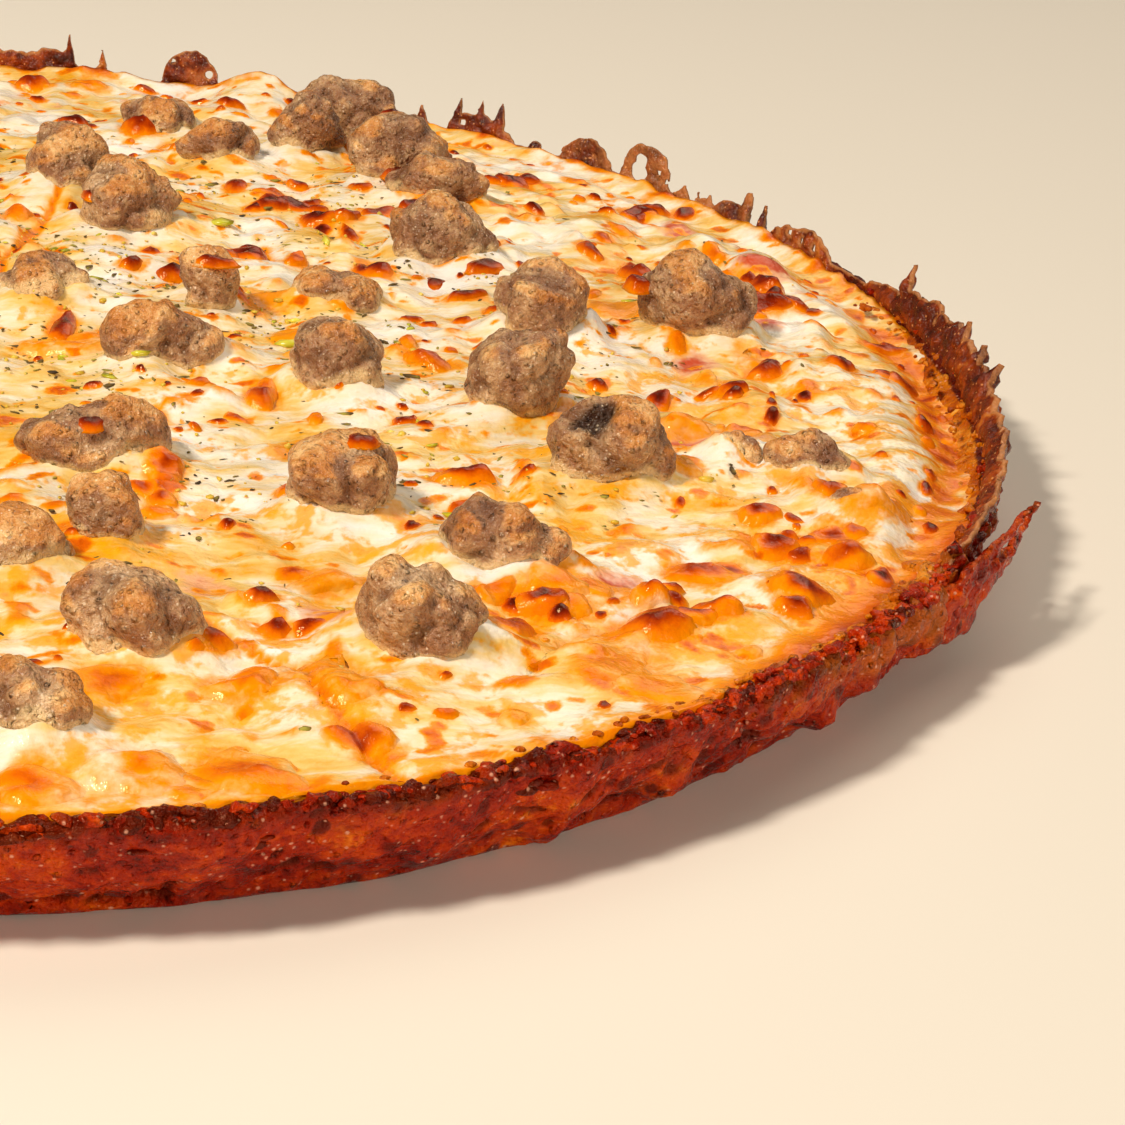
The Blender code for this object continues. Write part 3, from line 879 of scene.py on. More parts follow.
class PIZZA_OT_crust(bpy.types.Operator):
    """Builds the crust: its underside, the bubbled wall and the jagged crest"""

    bl_idname = "pizza.crust"
    bl_label = "Crust"

    def execute(self, context):
        sizes = context.scene.pizza_crust
        profile = np.array(crust_profile(sizes.spacing))
        rows, steps = len(profile) - 1, round(2 * math.pi * RADIUS / sizes.spacing)
        bm = bmesh.new()
        bmesh.ops.create_grid(bm, x_segments=steps, y_segments=rows, size=1)
        for vert in bm.verts:
            radius, height = profile[round((vert.co.y + 1) / 2 * rows)]
            angle = vert.co.x * math.pi
            vert.co = radius * math.cos(angle), radius * math.sin(angle), height
        bmesh.ops.remove_doubles(bm, verts=bm.verts, dist=0.01 * MM)
        bmesh.ops.recalc_face_normals(bm, faces=bm.faces)
        mesh = finished_mesh("crust_wall", bm)
        points, normals = mesh_points(mesh), mesh_normals(mesh)
        radius, angle = np.hypot(points[:, 0], points[:, 1]), np.arctan2(points[:, 1], points[:, 0])
        ring, up = outwards(angle), points[:, 2] / RIM_TOP
        rolled = step(RADIUS - 12 * MM, RADIUS - 7 * MM, radius)
        shown = rolled * step(0.0, 0.06, up)
        torn = bell(angle, TORN_ANGLE, TORN_SPREAD)
        relief = 0.45 * (1.8 * np.abs(noise_at(points, 4.6 * MM, 4.0)) - 0.4)
        relief += 0.45 * (noise_at(points, 2.1 * MM, 8.0) + 0.5 * noise_at(points, 1.2 * MM, 18.0))
        relief += 0.5 * noise_at(points, 9 * MM, 15.0)
        relief *= 0.9 + 1.3 * torn + 0.6 * step(0.6, 0.85, up)
        pits = step(0.30, 0.5, noise_at(points * [1, 1, 1.4], 4 * MM, 43.0)) * (1 - step(0.35, 0.8, up))
        hollow, out = self.features(angle, points[:, 2])
        inner = step(RADIUS - 1.9 * MM, RADIUS - 3.4 * MM, radius) * (points[:, 2] > DOUGH_TOP + 0.2 * MM)
        relief *= 1 - 0.75 * inner
        points += normals * (shown * (sizes.bubble * relief - 0.7 * MM * pits - hollow + out))[:, None]
        wander = noise_at(ring * RADIUS, 16 * MM, 27.0) + 0.5 * noise_at(ring * RADIUS, 6 * MM, 61.0)
        drift = OUTLINE(angle) - RADIUS + 0.7 * MM * wander
        points += ring * (drift * step(RADIUS - 12 * MM, RADIUS - 4 * MM, radius))[:, None]
        teeth = noise_at(points, 3.0 * MM, 71.0) + 0.6 * noise_at(points, 1.7 * MM, 75.0)
        teeth = np.clip(teeth + 0.8 * noise_at(points, 9 * MM, 83.0), -1.0, 1.3) - 0.1
        teeth *= sizes.tooth * (1 - 0.7 * far_side(angle))
        points[:, 2] += step(0.72, 0.95, up) * rolled * (CREST(angle) - RIM_TOP + teeth)
        points[:, 2] -= inner * 1.2 * MM * trough(points[:, 0], points[:, 1])
        points[:, 2] = np.maximum(points[:, 2], 0)
        set_points(mesh, points)
        inside_top = (radius < RADIUS - 1.2 * MM) & (points[:, 2] > 11 * MM)
        add_values(mesh, "height", np.clip(np.where(inside_top, 1.0, points[:, 2] / RIM_TOP), 0, 1.2))
        add_values(mesh, "inside", inner)
        # Low in the pits, hollows and valleys; the material darkens these places, partly as painted shade
        add_values(mesh, "relief", np.clip(0.5 + 0.45 * relief - 0.5 * pits - hollow / MM, 0, 1))
        add_values(mesh, "tan", torn * step(0.2, 0.7, up))
        add_piece("crust_wall", mesh, "crust", bpy.data.materials["crust_fried_cheese_caramelised"], "crust")
        return {"FINISHED"}

    def features(self, angle, height):
        """How deep the listed hollows and how far out the listed lumps are at each place."""
        hollow, out = np.zeros(len(angle)), np.zeros(len(angle))
        for bearing, level, half_length, half_height, depth in WALL_HOLLOWS:
            along = (angle - math.radians(bearing)) * RADIUS / (half_length * MM)
            share = np.hypot(along, (height - level * MM) / (half_height * MM))
            hollow = np.maximum(hollow, depth * MM * (1 - step(0.5, 1.2, share)))
        for bearing, level, size, stand in WALL_LUMPS:
            share = np.hypot((angle - math.radians(bearing)) * RADIUS, height - level * MM) / (size * MM)
            out += stand * MM * np.exp(-(share**2) * 1.6)
        return hollow, out


# The crumbs' three groups, along the torn side, all round the crest and in the trough: their shares, the
# middle and the spread of their direction in degrees, and how far inwards they reach in mm
CRUMB_SHARES = (0.36, 0.58, 0.06)
CRUMB_MIDDLES = (-46, 0, -12)
CRUMB_SPREADS = (11, 0, 14)
CRUMB_REACHES = (3.2, 1.6, 6.5)
# The grid over the rim that keeps the height of the wall's top: cells round it, cells inwards, their size
TOP_CELLS = (1200, 14)
TOP_CELL_SIZE = 0.7 * MM


class PIZZA_OT_crumbs(bpy.types.Operator):
    """Scatters the small fried lumps that roughen the top of the crust and the edge of the cheese"""

    bl_idname = "pizza.crumbs"
    bl_label = "Rim crumbs"

    def execute(self, context):
        rng = np.random.default_rng(12)
        count = context.scene.pizza_crust.crumbs
        group = rng.choice(3, count, p=CRUMB_SHARES)
        middle, reach = np.array(CRUMB_MIDDLES)[group], np.array(CRUMB_REACHES)[group]
        angle = np.radians(middle + np.array(CRUMB_SPREADS)[group] * rng.standard_normal(count))
        angle = np.where(group == 1, rng.uniform(-math.pi, math.pi, count), angle)
        angle = np.where((group == 1) & (far_side(angle) > 0.3), angle - 0.75 * math.pi, angle)
        inwards = MM * (0.4 + reach * rng.random(count) ** 1.6)
        distance = OUTLINE(angle) - inwards
        radius = MM * (0.28 + 0.6 * rng.random(count) ** 2)
        x, y = distance * np.cos(angle), distance * np.sin(angle)
        on_cheese = (inwards > CHEESE_EDGE).astype(float)
        ground = np.maximum(cheese_height(x, y) * on_cheese, self.crust_top(angle, distance))
        ground -= (0.45 + 0.25 * on_cheese) * radius
        template = bmesh.new()
        bmesh.ops.create_icosphere(template, subdivisions=2, radius=1)
        mesh = copies("rim_crumbs", template, count)
        unit = mesh_points(mesh).reshape(count, -1, 3)
        along = outwards(angle + math.pi / 2)[:, None, :]
        longer = rng.uniform(0.0, 1.2, count)[:, None, None]
        stretched = unit + along * (unit * along).sum(2, keepdims=True) * longer
        places = np.stack([x, y, ground], 1)[:, None, :]
        body = stretched * radius[:, None, None] * [1, 1, 0.8]
        uneven = noise_at((places + body).reshape(-1, 3), 1.1 * MM, 57.0).reshape(count, -1, 1)
        points = (places + body * (1 + 1.1 * uneven)).reshape(-1, 3)
        set_points(mesh, points)
        corners = unit.shape[1]
        add_values(mesh, "height", np.repeat(rng.uniform(0.3, 0.7, count) + 0.35 * (group == 1), corners))
        add_values(mesh, "inside", np.repeat((group == 2) * 0.9 + (group == 0) * 0.8 * on_cheese, corners))
        add_values(mesh, "relief", np.full(len(points), 0.6))
        add_values(mesh, "tan", np.zeros(len(points)))
        add_piece("rim_crumbs", mesh, "crust", bpy.data.materials["crust_fried_cheese_caramelised"])
        return {"FINISHED"}

    def crust_top(self, angle, distance):
        """The height of the finished wall's top at each place."""
        points = mesh_points(bpy.data.objects["crust_wall"].data)
        x, y, height = points.T
        top = np.zeros(TOP_CELLS)
        np.maximum.at(top, self.cells(np.arctan2(y, x), np.hypot(x, y)), height)
        found = top[self.cells(angle, distance)]
        return np.where(found > 0.6 * RIM_TOP, found, CREST(angle) - 0.8 * MM)

    def cells(self, angle, distance):
        """Which cell of a grid over the rim each place falls in."""
        around, inwards = TOP_CELLS
        column = (angle / (2 * math.pi) * around).astype(int) % around
        return column, np.clip((OUTLINE(angle) - distance) / TOP_CELL_SIZE, 0, inwards - 1).astype(int)


# ---------------- the cheese


class PIZZA_OT_cheese(bpy.types.Operator):
    """Builds the layer of melted cheese, with its humps, folds and the rise against each chunk"""

    bl_idname = "pizza.cheese"
    bl_label = "Cheese"

    def execute(self, context):
        cells = context.scene.pizza_cheese.cells
        bm = bmesh.new()
        bmesh.ops.create_grid(bm, x_segments=cells, y_segments=cells, size=1)
        rim = [edge for edge in bm.edges if edge.is_boundary]
        skirt = bmesh.ops.extrude_edge_only(bm, edges=rim)["geom"]
        for vert in (part for part in skirt if isinstance(part, bmesh.types.BMVert)):
            vert.co.z = -1
        rim = [edge for edge in bm.edges if edge.is_boundary]
        floor = bmesh.ops.holes_fill(bm, edges=rim, sides=0)["faces"]
        bmesh.ops.poke(bm, faces=floor)
        bmesh.ops.recalc_face_normals(bm, faces=bm.faces)
        mesh = finished_mesh("cheese_melted", bm)
        points = mesh_points(mesh)
        u, v, under = points[:, 0].copy(), points[:, 1].copy(), points[:, 2] < -0.5
        points[:, 0] = u * np.sqrt(1 - v * v / 2)
        points[:, 1] = v * np.sqrt(1 - u * u / 2)
        reach = OUTLINE(np.arctan2(points[:, 1], points[:, 0])) - CHEESE_EDGE
        points[:, :2] *= reach[:, None]
        x, y = points[:, 0], points[:, 1]
        points[:, 2] = np.where(under, CHEESE_FLOOR, cheese_height(x, y))
        set_points(mesh, points)
        add_cheese_values(mesh, x, y, browning(x, y))
        add_piece("cheese_melted", mesh, "cheese", bpy.data.materials["melted_mozzarella_baked"], "cheese")
        return {"FINISHED"}


# How far round its middle a bubble feels for the sausage under it, and how deep it sits in it
TOPPED_REACH = 1.4 * MM
TOPPED_SUNK = 0.5 * MM


def dome(rings, steps):
    """A closed dome of radius 1 with a rounded top and a foot that runs out flat, then dips under."""
    reach = [ring / rings for ring in range(rings)]
    outline = [(share, (1 - share**2) ** 0.5) for share in reach] + [(1.0, 0.04), (1.15, -0.16), (0, -0.2)]
    template = bmesh.new()
    corners = [template.verts.new((radius, 0, height)) for radius, height in outline]
    edges = [template.edges.new(pair) for pair in zip(corners, corners[1:])]
    bmesh.ops.spin(template, geom=corners + edges, cent=(0, 0, 0), axis=(0, 0, 1), angle=2 * math.pi,
                   steps=steps, use_merge=True)
    bmesh.ops.remove_doubles(template, verts=template.verts, dist=0.001)
    bmesh.ops.recalc_face_normals(template, faces=template.faces)
    return template


class PIZZA_OT_blisters(bpy.types.Operator):
    """Raises the browned blisters of the cheese, large and small, and those on the sausage"""

    bl_idname = "pizza.blisters"
    bl_label = "Blisters"

    def execute(self, context):
        rise = context.scene.pizza_cheese.blister_rise
        clear = chunk_distance(BLISTERS[:, 0], BLISTERS[:, 1]) > -0.5 * MM
        raised = BLISTERS[(BLISTERS[:, 3] > 0.3) & clear]
        large = raised[:, 2] > 1.9 * MM
        self.raise_domes("cheese_blisters_large", dome(7, 20), raised[large], rise)
        self.raise_domes("cheese_blisters_small", dome(3, 9), raised[~large], rise)
        topped = np.array([(*polar(distance, bearing), radius * MM, 1.0, 1.2, bearing / 30)
                           for distance, bearing, radius in TOPPED])
        meat = [piece.data for piece in bpy.data.objects if piece.name.startswith("sausage_chunks_")]
        sausage = np.concatenate([mesh_points(mesh) for mesh in meat])
        floor = []
        for x, y in topped[:, :2]:
            under = sausage[np.hypot(sausage[:, 0] - x, sausage[:, 1] - y) < TOPPED_REACH, 2]
            below = cheese_height(np.array([x]), np.array([y]))[0]
            floor.append(max(below, np.percentile(under, 75) if len(under) else below))
        floor = np.array(floor) - TOPPED_SUNK
        self.raise_domes("cheese_blisters_on_sausage", dome(7, 20), topped, 1.1 * rise, floor)
        return {"FINISHED"}

    def raise_domes(self, name, template, blisters, rise, floor=None):
        """Sets a dome on the cheese at every blister, or at the given heights."""
        count = len(blisters)
        mesh = copies(name, template, count)
        unit = mesh_points(mesh).reshape(count, -1, 3)
        middle_x, middle_y, radius, dark, stretch, turn = blisters.T[:, :, None]
        angle = np.arctan2(unit[:, :, 1], unit[:, :, 0])
        rho = np.hypot(unit[:, :, 0], unit[:, :, 1])
        phase = np.arange(count)[:, None] * GOLDEN_ANGLE
        lobes = 1 + 0.13 * np.sin(2 * angle + phase) + 0.10 * np.sin(3 * angle + 2.3 * phase)
        lobes += 0.06 * np.sin(5 * angle + phase)
        along = radius * rho * lobes * np.cos(angle) * stretch
        across = radius * rho * lobes * np.sin(angle) / np.sqrt(stretch)
        x = (middle_x + along * np.cos(turn) - across * np.sin(turn)).ravel()
        y = (middle_y + along * np.sin(turn) + across * np.cos(turn)).ravel()
        height = rise * (0.85 + 0.25 * np.sin(3 * phase)) * np.minimum(radius, 2.6 * MM)
        height = height * (0.35 + 0.65 * dark)
        ripple = flat_noise(x, y, 1.6 * MM, 91.0).reshape(count, -1)
        swell = flat_noise(x, y, 3.1 * MM, 95.0).reshape(count, -1)
        lift = height * unit[:, :, 2] * (1 + 0.25 * ripple + 0.35 * swell) - 0.1 * MM * rho**4
        ground = cheese_height(x, y) if floor is None else np.repeat(floor, unit.shape[1])
        set_points(mesh, np.stack([x, y, ground + lift.ravel()], 1))
        if floor is None:
            tip = 0.75 + 0.3 * (radius < 1.6 * MM) + 0.35 * step(-90 * MM, 0, middle_y)
            tip = tip + 0.2 * np.cos(angle - phase)
            core = dark * (0.96 - 0.46 * (rho / tip) ** 1.5) + 0.14 * ripple
            share = (1 - step(0.8, 1.1, rho)).ravel()
            around = browning(x, y)
            brown = np.maximum(around, around * (1 - share) + core.ravel() * share)
        else:
            brown = (0.96 - 0.45 * rho**2 + 0.14 * ripple).ravel()
        add_cheese_values(mesh, x, y, brown)
        add_piece(name, mesh, "cheese", bpy.data.materials["melted_mozzarella_baked"])


# ---------------- the crisp edge

# Stretches of the rim where thin crisp cheese stands up: from and to in degrees, height in mm, lean outwards
RIBBONS = (
    (-36, -24, 2.0, 0.5), (-28, -12, 3.6, 0.35), (-14, 4, 4.4, 0.25), (2, 8, 2.2, 0.2), (8, 30, 0.3, 0.1),
    (29, 42, 0.3, 0.1), (42, 62, 0.3, 0.2), (62, 78, 0.3, 0.0), (81, 92, 4.2, 0.0),
)
# Taller crisps: direction of the middle in degrees, width and height in mm, number of spikes, number of holes
CRISPS = (
    (84.5, 15, 3.6, 0, 0), (81.4, 4.6, 8.2, 1, 0), (79.2, 3.8, 5.4, 1, 0), (72.2, 12, 7.2, 0, 0),
    (53.4, 4.5, 3.8, 1, 0), (48.3, 16, 7.8, 3, 0), (43.5, 3, 1.6, 0, 0), (38.8, 13, 4.8, 0, 0),
    (33.1, 12.5, 7.4, 0, 0), (29.6, 5, 2.6, 1, 0), (27.2, 5.5, 3.2, 2, 0), (24.6, 9, 3.0, 0, 0),
    (23.3, 3.2, 5.4, 0, 0), (21.2, 3.0, 5.4, 1, 0), (16.8, 19, 3.5, 0, 0), (3.8, 5.4, 8.0, 1, 0),
    (0.0, 9, 5.4, 0, 0), (-4.2, 8, 5.6, 0, 0), (-6.2, 6, 7.4, 1, 0), (-9.4, 5.0, 7.4, 1, 0),
    (-12.6, 6, 6.8, 1, 0), (-15.5, 8, 4.4, 0, 0), (-18.5, 6, 4.2, 1, 0), (-21.5, 8, 4.0, 0, 0),
    (-25.5, 7, 3.4, 0, 0),
)
# Holes through the crisps: direction in degrees, height and radius in mm
HOLES = (
    (79.4, 2.8, 0.55), (73.6, 4.9, 0.55), (70.8, 3.0, 0.9), (50.0, 2.2, 0.6), (33.8, 2.0, 2.0),
    (33.7, 4.0, 1.5), (31.9, 3.0, 0.5), (31.1, 1.8, 0.5), (31.6, 1.5, 0.4), (18.1, 2.2, 0.6),
    (16.9, 1.6, 0.55), (15.4, 1.3, 0.65), (19.4, 1.6, 0.4), (38.2, 2.0, 0.4), (-1.0, 2.6, 0.4),
)
LACE_SPACING = 0.40 * MM
LACE_ROWS = 26
LACE_SUNK = 1.6 * MM
LACE_THICKNESS = 2.9 * MM
FLARE_FROM = -46.0
FLARE_TO = -25.0
FLARE_ROWS = 34
FLARE_THICKNESS = 3.4 * MM
# The flare's prongs: start and end, each as direction in degrees and height in mm, then thickness in mm
PRONGS = (
    ((-39, 7.0), (-27.5, 10.8), 2.4), ((-38, 4.6), (-29.8, 7.0), 1.9),
    ((-38, 2.6), (-33.0, 4.4), 2.4), ((-38, 9.6), (-30.2, 14.6), 1.8),
)
# A sheet's thickness is held in this many steps
THICKNESS_LEVELS = 12


def sheet_points(run, rise):
    """Points of a sheet laid out flat, for its noise."""
    return np.stack([run, rise, 0 * run], 1)


def all_ribbons():
    """The listed stretches, then seeded ones round the rest of the rim."""
    rng = random.Random(23)
    made = list(RIBBONS)
    bearing = 90.0
    while bearing < 244:
        width = rng.uniform(8, 20)
        made.append((bearing, bearing + width, rng.uniform(0.6, 3.0), rng.uniform(-0.1, 0.5)))
        bearing += width * rng.uniform(0.8, 1.2)
    return made


def all_crisps():
    """The listed crisps, then seeded ones round the rest of the rim."""
    rng = random.Random(17)
    made = list(CRISPS)
    bearing = 92.0
    while bearing < 250:
        height = rng.choice((2.4, 3.2, 4.2, 5.2, 6.8))
        width = rng.uniform(1.0, 2.0) * height
        made.append((bearing, width, height, rng.choice((0, 0, 0, 1)), rng.choice((0, 0, 1, 2))))
        bearing += rng.uniform(3, 12)
    return made


class PIZZA_OT_lace(bpy.types.Operator):
    """Builds the thin jagged crisps of cheese that stand on the rim and split away from it"""

    bl_idname = "pizza.lace"
    bl_label = "Crisp edge"

    def execute(self, context):
        crisp = self.torn_strip("rim_crisps", (-180, 180), LACE_ROWS, self.rim_inside, self.rim_place)
        self.finish(*crisp, LACE_THICKNESS, "crust_cheese_crisp")
        ends = (FLARE_FROM, FLARE_TO)
        flare = self.torn_strip("rim_flare", ends, FLARE_ROWS, self.flare_inside, self.flare_place)
        self.finish(*flare, FLARE_THICKNESS, "crust_fried_cheese_caramelised")
        return {"FINISHED"}

    def torn_strip(self, name, ends, rows, inside_at, place):
        """A thin sheet between two directions, cut where its inside falls to 0 and bent to its place."""
        start, end = (math.radians(bearing) * RADIUS for bearing in ends)
        columns = round((end - start) / LACE_SPACING)
        bm = bmesh.new()
        bmesh.ops.create_grid(bm, x_segments=columns, y_segments=rows, size=1)
        mesh = finished_mesh(name, bm)
        unit = mesh_points(mesh)
        run = start + (unit[:, 0] + 1) / 2 * (end - start)
        rise = (unit[:, 1] + 1) / 2 * rows * LACE_SPACING
        inside = inside_at(run, rise)
        up, along = np.gradient(inside.reshape(rows + 1, columns + 1), LACE_SPACING)
        carried = {"run": run, "rise": rise, "inside": inside, "along": along.ravel(), "up": up.ravel()}
        for label, values in carried.items():
            add_values(mesh, label, values)
        bm = bmesh.new()
        bm.from_mesh(mesh)
        depth = bm.verts.layers.float["inside"]
        gone = [face for face in bm.faces if all(corner[depth] <= 0 for corner in face.verts)]
        bmesh.ops.delete(bm, geom=gone, context="FACES")
        open_edge = bm.verts.layers.float.new("open")
        for vert in bm.verts:
            vert[open_edge] = vert.is_boundary
        bm.to_mesh(mesh)
        bm.free()
        run, rise, inside, along, up, edge = (self.taken_back(mesh, label) for label in (*carried, "open"))
        shift = np.where((inside < 0) & (edge > 0.5), inside, 0) / (along**2 + up**2 + 1e-9)
        run = run - np.clip(shift * along, -LACE_SPACING, LACE_SPACING)
        rise = np.maximum(rise - np.clip(shift * up, -LACE_SPACING, LACE_SPACING), 0)
        set_points(mesh, place(run, rise))
        return mesh, run, rise, inside

    def finish(self, mesh, run, rise, inside, thickness, material):
        """Gives a torn sheet its colours and its uneven thickness, and puts it in the scene."""
        degrees = np.degrees(run / RADIUS)
        pale = 0.85 * bell(degrees, 32, 20) + 0.6 * bell(degrees, 72, 4)
        edge = np.maximum(1 - step(0.0, 1.0 * MM, inside), pale)
        add_values(mesh, "edge", edge)
        add_values(mesh, "tan", 0.3 + 0.4 * edge)
        add_values(mesh, "relief", np.full(len(run), 0.6))
        add_values(mesh, "height", np.full(len(run), 0.55))
        piece = add_piece(mesh.name, mesh, "crust", bpy.data.materials[material])
        lumps = noise_at(sheet_points(run, rise), 2.2 * MM, 21.0)
        share = 0.3 + (0.55 + 0.6 * lumps) * step(0.0, 2.2 * MM, inside)
        share *= 0.6 + 0.4 * bell(degrees, -12, 15)
        levels = np.clip(np.round(share * THICKNESS_LEVELS), 2, THICKNESS_LEVELS)
        group = piece.vertex_groups.new(name="thickness")
        for level in range(2, THICKNESS_LEVELS + 1):
            group.add(np.flatnonzero(levels == level).tolist(), level / THICKNESS_LEVELS, "REPLACE")
        thicken = piece.modifiers.new("thickness", "SOLIDIFY")
        thicken.thickness = thickness
        thicken.offset = 0
        thicken.vertex_group = group.name

    def taken_back(self, mesh, name):
        """Takes back the values that a mesh has carried through an edit."""
        layer = mesh.attributes[name]
        values = np.empty(len(mesh.vertices), np.float32)
        layer.data.foreach_get("value", values)
        mesh.attributes.remove(layer)
        return values.astype(float)

    def ribbon_values(self, run):
        """The height and the lean of the ribbons at each place along the rim."""
        degrees = np.degrees(run / RADIUS)
        height, lean = np.zeros(len(run)), np.full(len(run), 0.1)
        for first, last, tall, leaning in all_ribbons():
            middle, half = (first + last) / 2, (last - first) / 2
            apart = np.abs((degrees - middle + 180) % 360 - 180)
            share = 1 - step(half - 2, half + 2, apart)
            height = np.maximum(height, tall * MM * share)
            lean = lean + (leaning - lean) * share
        return height, lean

    def rim_inside(self, run, rise):
        """How far inside the lace each place of the strip is, less than 0 in the air and in the holes."""
        around = 2 * math.pi * RADIUS
        ring = outwards(run / RADIUS) * RADIUS
        sheet = ring + np.stack([0 * run, 0 * run, rise], 1)
        ragged = 0.6 * MM * noise_at(sheet, 1.7 * MM, 3.0) + 0.6 * MM * noise_at(sheet, 3.5 * MM, 5.0)
        tall, _ = self.ribbon_values(run)
        uneven = 0.95 + 0.2 * noise_at(ring, 3.4 * MM, 13.0) + 0.35 * noise_at(ring, 8 * MM, 33.0)
        level = tall * np.clip(uneven, 0.3, 1.6)
        rng = random.Random(31)
        for bearing, width, height, spikes, _ in all_crisps():
            apart = (run - math.radians(bearing) * RADIUS + around / 2) % around - around / 2
            share = apart / (width * MM / 2)
            skew = rng.uniform(-0.35, 0.35) * (1.0 if spikes else 0.2)
            share = share + skew * (1 - np.clip(share**2, 0, 1))
            body = np.clip(1 - np.abs(share) ** 2.4, 0, 1) ** 0.6
            peaks = 0 * share
            for number in range(spikes):
                middle = (number + 0.5) / spikes * 2 - 1 + rng.uniform(-0.12, 0.12)
                peak = rng.uniform(0.8, 1.0) if spikes > 1 else 1.0
                spike = np.clip(1 - np.abs(share - middle) * spikes * 1.1, 0, 1) ** 1.1
                peaks = np.maximum(peaks, peak * spike)
            low = 0.55 if spikes > 1 else 0.35 if spikes else 1.0
            level = np.maximum(level, height * MM * np.maximum(low * body, peaks))
        inside = LACE_SUNK + level - rise + ragged * step(0, 1.0 * MM, level)
        inside = np.where(level > 0.15 * MM, inside, -LACE_SPACING)
        for place, up, size in self.holes():
            apart = (run - place + around / 2) % around - around / 2
            inside = np.minimum(inside, np.hypot(apart, rise - up) - size + 0.3 * ragged)
        return inside

    def holes(self):
        """Place along the rim, height and radius of every hole in the crisps."""
        rng = random.Random(29)
        for bearing, up, size in HOLES:
            yield math.radians(bearing) * RADIUS, LACE_SUNK + up * MM, size * MM
        for bearing, width, height, _, holes in all_crisps():
            for number in range(holes):
                middle = (number + 0.5) / holes - 0.5 + rng.uniform(-0.1, 0.1)
                place = math.radians(bearing) * RADIUS + width * MM * middle * 0.7
                size = min(height, width / holes) * MM * rng.uniform(0.15, 0.28)
                yield place, LACE_SUNK + height * MM * rng.uniform(0.35, 0.55), size

    def rim_place(self, run, rise):
        """Where the lace stands on the rim: leaning, rippled and curled."""
        angle = run / RADIUS
        ring, sheet = outwards(angle), sheet_points(run, rise)
        _, lean = self.ribbon_values(run)
        lean = lean + 0.25 * noise_at(ring * RADIUS, 11 * MM, 19.0)
        curl = noise_at(sheet, 3 * MM, 23.0) + 0.7 * noise_at(sheet, 1.5 * MM, 25.0)
        shown = np.maximum(rise - LACE_SUNK, 0)
        out = OUTLINE(angle) - 1.2 * MM + shown * np.sin(lean) + 0.5 * MM * curl * np.minimum(shown / MM, 1)
        points = ring * out[:, None]
        points[:, 2] = CREST(angle) - 1.0 * MM - LACE_SUNK
        points[:, 2] += np.minimum(rise, LACE_SUNK) + shown * np.cos(lean)
        return points

    def flare_inside(self, run, rise):
        """How far inside the flared sheet each place is: it ends in long torn prongs."""
        degrees = np.degrees(run / RADIUS)
        sheet = sheet_points(run, rise)
        ragged = 0.5 * MM * noise_at(sheet, 1.3 * MM, 41.0) + 0.7 * MM * noise_at(sheet, 4 * MM, 43.0)
        level = 8.6 * MM * step(FLARE_FROM, -41, degrees)
        level += 1.6 * MM * noise_at(sheet * [1, 0, 0], 3.4 * MM, 47.0)
        torn_end = (math.radians(-34.5) * RADIUS - run) * 0.8 + 0.3 * (rise - 4 * MM)
        body = np.minimum(level - rise, torn_end)
        for (start, low), (end, high), thick in PRONGS:
            start, end = math.radians(start) * RADIUS, math.radians(end) * RADIUS
            share = np.clip((run - start) / (end - start), 0, 1)
            away = np.hypot(run - start - share * (end - start), rise - (low + (high - low) * share) * MM)
            body = np.maximum(body, thick * MM * (1 - 0.75 * share) - away)
        return body + ragged

    def flare_place(self, run, rise):
        """Where the flared sheet stands: against the wall's middle, then bending outwards and up."""
        angle = run / RADIUS
        free = step(-39, -27, np.degrees(angle))
        sheet = sheet_points(run, rise)
        curl = noise_at(sheet, 5 * MM, 53.0) + 0.5 * noise_at(sheet, 2 * MM, 59.0)
        sunk = 1 - step(-44, -35, np.degrees(angle))
        out = RADIUS + (0.6 - 4.2 * sunk + 1.4 * free) * MM + (0.08 + 0.14 * free) * rise + 0.8 * MM * curl
        points = outwards(angle) * out[:, None]
        points[:, 2] = 4.4 * MM + 0.85 * rise
        return points


# ---------------- the sausage

# The charred hollow in one chunk: its middle, its half length, its half width and its depth
CHAR_PLACE = (79 * MM, -66 * MM)
CHAR_HALVES = (4.5 * MM, 4.0 * MM)
CHAR_DEPTH = 2.2 * MM
CHUNKS_A_PIECE = 12
CHUNK_SWELL = 1.04


